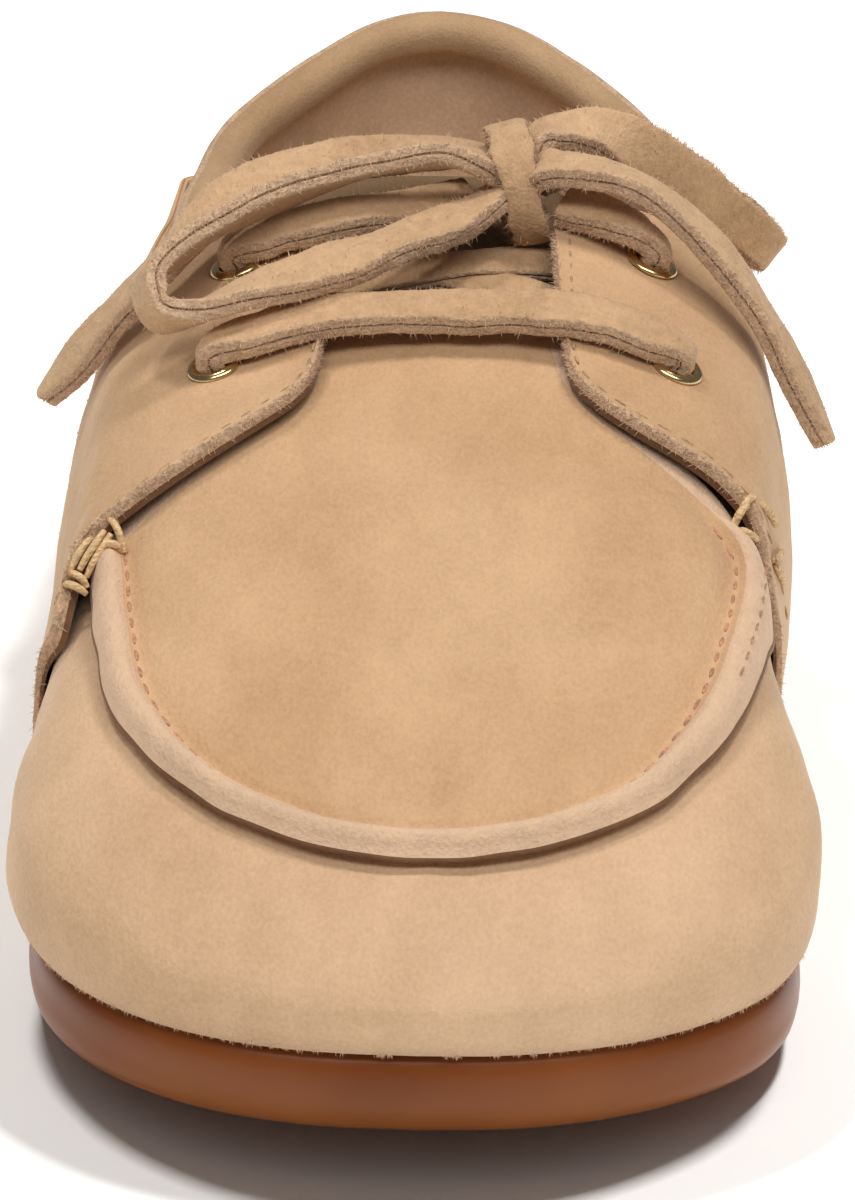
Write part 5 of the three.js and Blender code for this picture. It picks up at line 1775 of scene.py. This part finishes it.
def quarter_stitch_line(side, count=200):
    """A line inside a quarter's inner and front edges, and its normals."""
    inner = [(QUARTER_FRONT[side][0][0] + QUARTER_ROW["inner"], y) for y in QUARTER_ROW_UP]
    plan = smooth_line([(side * x, y) for x, y in inner + list(QUARTER_FRONT[side])], count)
    plan = plan + inwards_of(plan, side) * QUARTER_ROW["inset"]
    station = plan[:, 1] - TOE_Y
    around = around_at(plan[:, 0], plan[:, 1], GAP + OVERLAY + QUARTER_LIFT)
    front = 1 - smooth((plan[:, 1] - QUARTER_ROW["curl_from"]) / QUARTER_ROW["curl_run"])
    curl = EDGE_CURL[side] * front * curl_fade(around)
    grow = quarter_top(around, station) + QUARTER_ROW["curl"] * curl
    around = around_at(plan[:, 0], plan[:, 1], grow)
    return form(station, around, grow), normal_at(station, around, grow)


def make_sewing(context):
    """Stitches along the apron's lip and the quarters' edges."""
    colours = context.scene.shoe_colours
    thread = made_once("stitch_thread", thread_material, colours.stitch)
    left, left_up = apron_stitch_line(APRON_ROW, -1, APRON_ROW[-1])
    right, right_up = apron_stitch_line(APRON_ROW, 1, APRON_ROW[1])
    line = np.concatenate([left[::-1], right[1:]])
    normals = np.concatenate([left_up[::-1], right_up[1:]])
    make_stitches(context, "apron_stitches", line, normals, STITCH_SIZES["apron"], thread)
    rim, rim_up = apron_stitch_line(RIM_ROW, 1, RIM_ROW["to"])
    kept = rim[:, 1] > RIM_ROW["from"]
    make_stitches(context, "rim_stitches", rim[kept], rim_up[kept], STITCH_SIZES["rim"], thread)
    pale = made_once("edge_thread", thread_material, scaled(colours.suede_dark, 0.88))
    for side, name in ((-1, "lateral"), (1, "medial")):
        line, normals = quarter_stitch_line(side)
        make_stitches(context, "quarter_stitches_" + name, line, normals, STITCH_SIZES["quarter"], pale)


def tube(line, radius, sides=8):
    """Rings of a tube along a line."""
    tangent = unit(np.gradient(line, axis=0))
    first = unit(np.cross(tangent, THREAD_ASIDE))
    second = np.cross(tangent, first)
    turn = np.linspace(0, 2 * np.pi, sides, endpoint=False)
    across = np.cos(turn)[None, :, None] * first[:, None] + np.sin(turn)[None, :, None] * second[:, None]
    return line[:, None] + np.asarray(radius).reshape(-1, 1, 1) * across


def joined(parts):
    """Points and faces of several meshes as one."""
    points, faces, base = [], [], 0
    for own_points, own_faces in parts:
        points.append(own_points)
        faces.append(own_faces + base)
        base += len(own_points)
    return np.concatenate(points), np.concatenate(faces)


def make_tacks(context):
    """Thick hand-sewn threads that hold the quarters' corners to the apron's lip."""
    thread = made_once("tack_thread", thread_material, context.scene.shoe_colours.thread)
    turn = np.linspace(TACK["start"], np.pi - TACK["start"], TACK["steps"])
    taper = TACK["thin"] + (1 - TACK["thin"]) * np.sin(turn) ** TACK["power"]
    for name, strands in TACKS.items():
        lines = [smooth_line(strand, TACK["steps"]) for strand in strands]
        points, faces = joined([closed_loft(tube(line, TACK["thick"] / 2 * taper)) for line in lines])
        settle(make_piece("tack_" + name + "_thread", points, faces, [thread]), "thread")


def fibres(roots, directions, lengths, thick):
    """Thin closed spikes that stand on roots."""
    first = unit(np.cross(directions, FIBRE_ASIDE))
    second = np.cross(directions, first)
    turns = (0.0, 2 * math.pi / 3, 4 * math.pi / 3)
    corners = [roots + thick * (math.cos(a) * first + math.sin(a) * second) for a in turns]
    points = np.stack([*corners, roots + directions * lengths[:, None]], 1).reshape(-1, 3)
    base = np.arange(len(roots))[:, None] * 4
    sides = ((0, 1, 3, 3), (1, 2, 3, 3), (2, 0, 3, 3), (0, 2, 1, 1))
    return points, np.concatenate([base + np.array(side) for side in sides])


def nap_roots(piece, count, wanted, chance):
    """Random points and normals on the faces of a piece that are wanted."""
    mesh = piece.data
    size = len(mesh.polygons)
    area, kind = np.zeros(size), np.zeros(size, int)
    centre, normal = np.zeros(size * 3), np.zeros(size * 3)
    mesh.polygons.foreach_get("area", area)
    mesh.polygons.foreach_get("material_index", kind)
    mesh.polygons.foreach_get("center", centre)
    mesh.polygons.foreach_get("normal", normal)
    centre, normal = centre.reshape(-1, 3) / MM, normal.reshape(-1, 3)
    weight = area * wanted(kind, centre)
    chosen = chance.choice(size, count, p=weight / weight.sum())
    spread = np.sqrt(area[chosen])[:, None] / MM * 0.5
    slide = chance.uniform(-1, 1, (count, 3)) * spread
    slide -= normal[chosen] * np.sum(slide * normal[chosen], -1, keepdims=True)
    return centre[chosen] + slide, normal[chosen]


def on_rim(kinds, centres):
    """Marks the faces of a sheet's cut rim."""
    return kinds == RIM


def on_strap(kinds, centres):
    """Marks all the faces of a strap, its cut edges most."""
    return np.where(kinds > 0, 1.0, NAP_FACE)


def near_foot(kinds, centres):
    """Marks the outside faces of the wall close above the sole."""
    high = sole_top(np.clip(centres[:, 1] - TOE_Y, 0, LENGTH))
    return (kinds != INSIDE) & (centres[:, 2] < high + NAP_FOOT["high"])


NAP_PLACES = {"rim": on_rim, "edges": on_strap, "foot": near_foot}


def make_nap(context):
    """Loose fibres on cut edges, on the laces and along the foot of the suede."""
    chance = np.random.default_rng(NAP["seed"])
    parts = []
    for name, (count, place) in NAP_PIECES.items():
        roots, normals = nap_roots(bpy.data.objects[name], count, NAP_PLACES[place], chance)
        wild = chance.normal(0, NAP["wild"], (count, 3))
        if place == "foot":
            wild[:, 2] -= NAP_FOOT["hang"]
        directions = unit(normals + wild)
        lengths = chance.uniform(NAP["short"], NAP["long"], count)
        lengths = lengths * (NAP_FOOT["short"] if place == "foot" else 1.0)
        parts.append(fibres(roots - normals * NAP["sunk"], directions, lengths, NAP["thick"]))
    points, faces = joined(parts)
    piece = make_piece("suede_nap", points, faces, [raw_suede(context)])
    piece.data.shade_flat()
    return settle(piece, "suede")


# Stage


def camera_matrix():
    """Camera place and axes fitted to the photo."""
    pitch, roll = CAMERA["pitch"], CAMERA["roll"]
    forward = Vector((0, math.cos(pitch), -math.sin(pitch)))
    right = Vector((1, 0, 0))
    up = right.cross(forward)
    across = math.cos(roll) * right + math.sin(roll) * up
    upward = math.cos(roll) * up - math.sin(roll) * right
    axes = Matrix((across, upward, -forward)).transposed().to_4x4()
    return Matrix.Translation(Vector(CAMERA["at"]) * MM) @ axes


def add_light(name, values):
    """A soft rectangular light, turned to the shoe."""
    data = bpy.data.lights.new(name, "AREA")
    data.shape = "RECTANGLE"
    data.size, data.size_y = values["size"]
    data.energy = values["power"]
    data.color = values["tint"]
    light = bpy.data.objects.new(name, data)
    light.location = values["at"]
    light.rotation_euler = (Vector(LIGHT_AIM) - Vector(values["at"])).to_track_quat("-Z", "Y").to_euler()
    bpy.context.scene.collection.objects.link(light)
    return light


def share_light(light, floor, state):
    """Keeps a light off the floor, or on the floor only."""
    lit = bpy.data.collections.new(light.name + "_receivers")
    lit.objects.link(floor)
    lit.collection_objects[0].light_linking.link_state = state
    light.light_linking.receiver_collection = lit


def add_camera(scene):
    """The photo's camera."""
    data = bpy.data.cameras.new("photo_camera")
    data.sensor_fit = "AUTO"
    data.sensor_width = SENSOR
    data.lens = CAMERA["focal"] / PHOTO[1] * SENSOR
    data.shift_x = CAMERA["off"] / PHOTO[1]
    data.clip_start = NEAR_CLIP
    camera = bpy.data.objects.new("photo_camera", data)
    camera.matrix_world = camera_matrix()
    scene.collection.objects.link(camera)
    scene.camera = camera


def add_air(scene):
    """Faint light from all round."""
    world = bpy.data.worlds.new("studio_air")
    world.use_nodes = True
    set_sockets(world.node_tree.nodes["Background"], {"Color": AIR_TINT, "Strength": AIR})
    scene.world = world


def make_stage(context):
    """Pale floor, soft light and the photo's camera."""
    scene = context.scene
    add_camera(scene)
    corners = FLOOR_HALF * np.array([(-1, -1, 0), (1, -1, 0), (1, 1, 0), (-1, 1, 0)])
    matt = floor_material("studio_floor", scene.shoe_colours.floor)
    floor = make_piece("studio_floor", corners, [(0, 1, 2, 3)], [matt])
    for name, values in LIGHTS.items():
        share_light(add_light(name, values), floor, values["floor"])
    add_air(scene)
    scene.view_settings.view_transform = "Standard"


# Operators


class SHOE_OT_stage(bpy.types.Operator):
    """Make the floor, the lights and the camera."""

    bl_idname = "shoe.stage"
    bl_label = "Stage"

    def execute(self, context):
        make_stage(context)
        return {"FINISHED"}


class SHOE_OT_bow(bpy.types.Operator):
    """Tie the knot, loops and ends of the lace."""

    bl_idname = "shoe.bow"
    bl_label = "Bow"

    def execute(self, context):
        make_bow(context)
        return {"FINISHED"}


class SHOE_OT_sole(bpy.types.Operator):
    """Make the gum sole and the insole."""

    bl_idname = "shoe.sole"
    bl_label = "Sole"

    def execute(self, context):
        make_sole(context)
        make_insole(context)
        return {"FINISHED"}


class SHOE_OT_upper(bpy.types.Operator):
    """Make the hollow suede wall and the tongue."""

    bl_idname = "shoe.upper"
    bl_label = "Upper"

    def execute(self, context):
        make_upper(context)
        make_tongue(context)
        return {"FINISHED"}


class SHOE_OT_apron(bpy.types.Operator):
    """Make the apron with its rolled lip."""

    bl_idname = "shoe.apron"
    bl_label = "Apron"

    def execute(self, context):
        make_apron(context)
        return {"FINISHED"}


class SHOE_OT_quarters(bpy.types.Operator):
    """Make the two quarters with their eyelets."""

    bl_idname = "shoe.quarters"
    bl_label = "Quarters"

    def execute(self, context):
        make_quarter(context, -1, "quarter_lateral")
        make_quarter(context, 1, "quarter_medial")
        for name in EYELETS:
            make_eyelet(context, name)
        return {"FINISHED"}


class SHOE_OT_collar(bpy.types.Operator):
    """Make the padded collar and the thongs under it."""

    bl_idname = "shoe.collar"
    bl_label = "Collar"

    def execute(self, context):
        make_collar(context)
        make_thong(context, -1, "thong_lateral")
        make_thong(context, 1, "thong_medial")
        return {"FINISHED"}


class SHOE_OT_lacing(bpy.types.Operator):
    """Lead the lace through the eyelets."""

    bl_idname = "shoe.lacing"
    bl_label = "Lacing"

    def execute(self, context):
        make_bar(context)
        for name, route in STAY_ROUTES.items():
            make_stay(context, name, route)
        make_crossing(context)
        return {"FINISHED"}


class SHOE_OT_sewing(bpy.types.Operator):
    """Sew the stitches, the tacks and raise the nap."""

    bl_idname = "shoe.sewing"
    bl_label = "Sewing and nap"

    def execute(self, context):
        make_sewing(context)
        make_tacks(context)
        make_nap(context)
        return {"FINISHED"}


class SHOE_PT_panel(bpy.types.Panel):
    """Lists the pieces of the shoe and their sizes and colours."""

    bl_idname = "SHOE_PT_panel"
    bl_label = "Moccasin shoe"
    bl_space_type = "VIEW_3D"
    bl_region_type = "UI"
    bl_category = "Shoe"

    def draw(self, context):
        for group in (context.scene.shoe_sizes, context.scene.shoe_colours):
            for name in group.__annotations__:
                self.layout.prop(group, name)
        for operator in OPERATORS:
            self.layout.operator(operator.bl_idname)


OPERATORS = (
    SHOE_OT_stage,
    SHOE_OT_bow,
    SHOE_OT_sole,
    SHOE_OT_upper,
    SHOE_OT_apron,
    SHOE_OT_quarters,
    SHOE_OT_collar,
    SHOE_OT_lacing,
    SHOE_OT_sewing,
)
CLASSES = (ShoeSizes, ShoeColours, *OPERATORS, SHOE_PT_panel)


def register():
    """Adds the classes and the scene's settings."""
    for item in CLASSES:
        bpy.utils.register_class(item)
    bpy.types.Scene.shoe_sizes = bpy.props.PointerProperty(type=ShoeSizes)
    bpy.types.Scene.shoe_colours = bpy.props.PointerProperty(type=ShoeColours)


def unregister():
    """Takes the classes and the scene's settings away."""
    del bpy.types.Scene.shoe_sizes
    del bpy.types.Scene.shoe_colours
    for item in reversed(CLASSES):
        bpy.utils.unregister_class(item)


def main():
    """Builds the stage and every piece of the shoe."""
    register()
    bpy.ops.shoe.stage()
    bpy.ops.shoe.bow()
    bpy.ops.shoe.sole()
    bpy.ops.shoe.upper()
    bpy.ops.shoe.apron()
    bpy.ops.shoe.quarters()
    bpy.ops.shoe.collar()
    bpy.ops.shoe.lacing()
    bpy.ops.shoe.sewing()


if __name__ == "__main__":
    main()
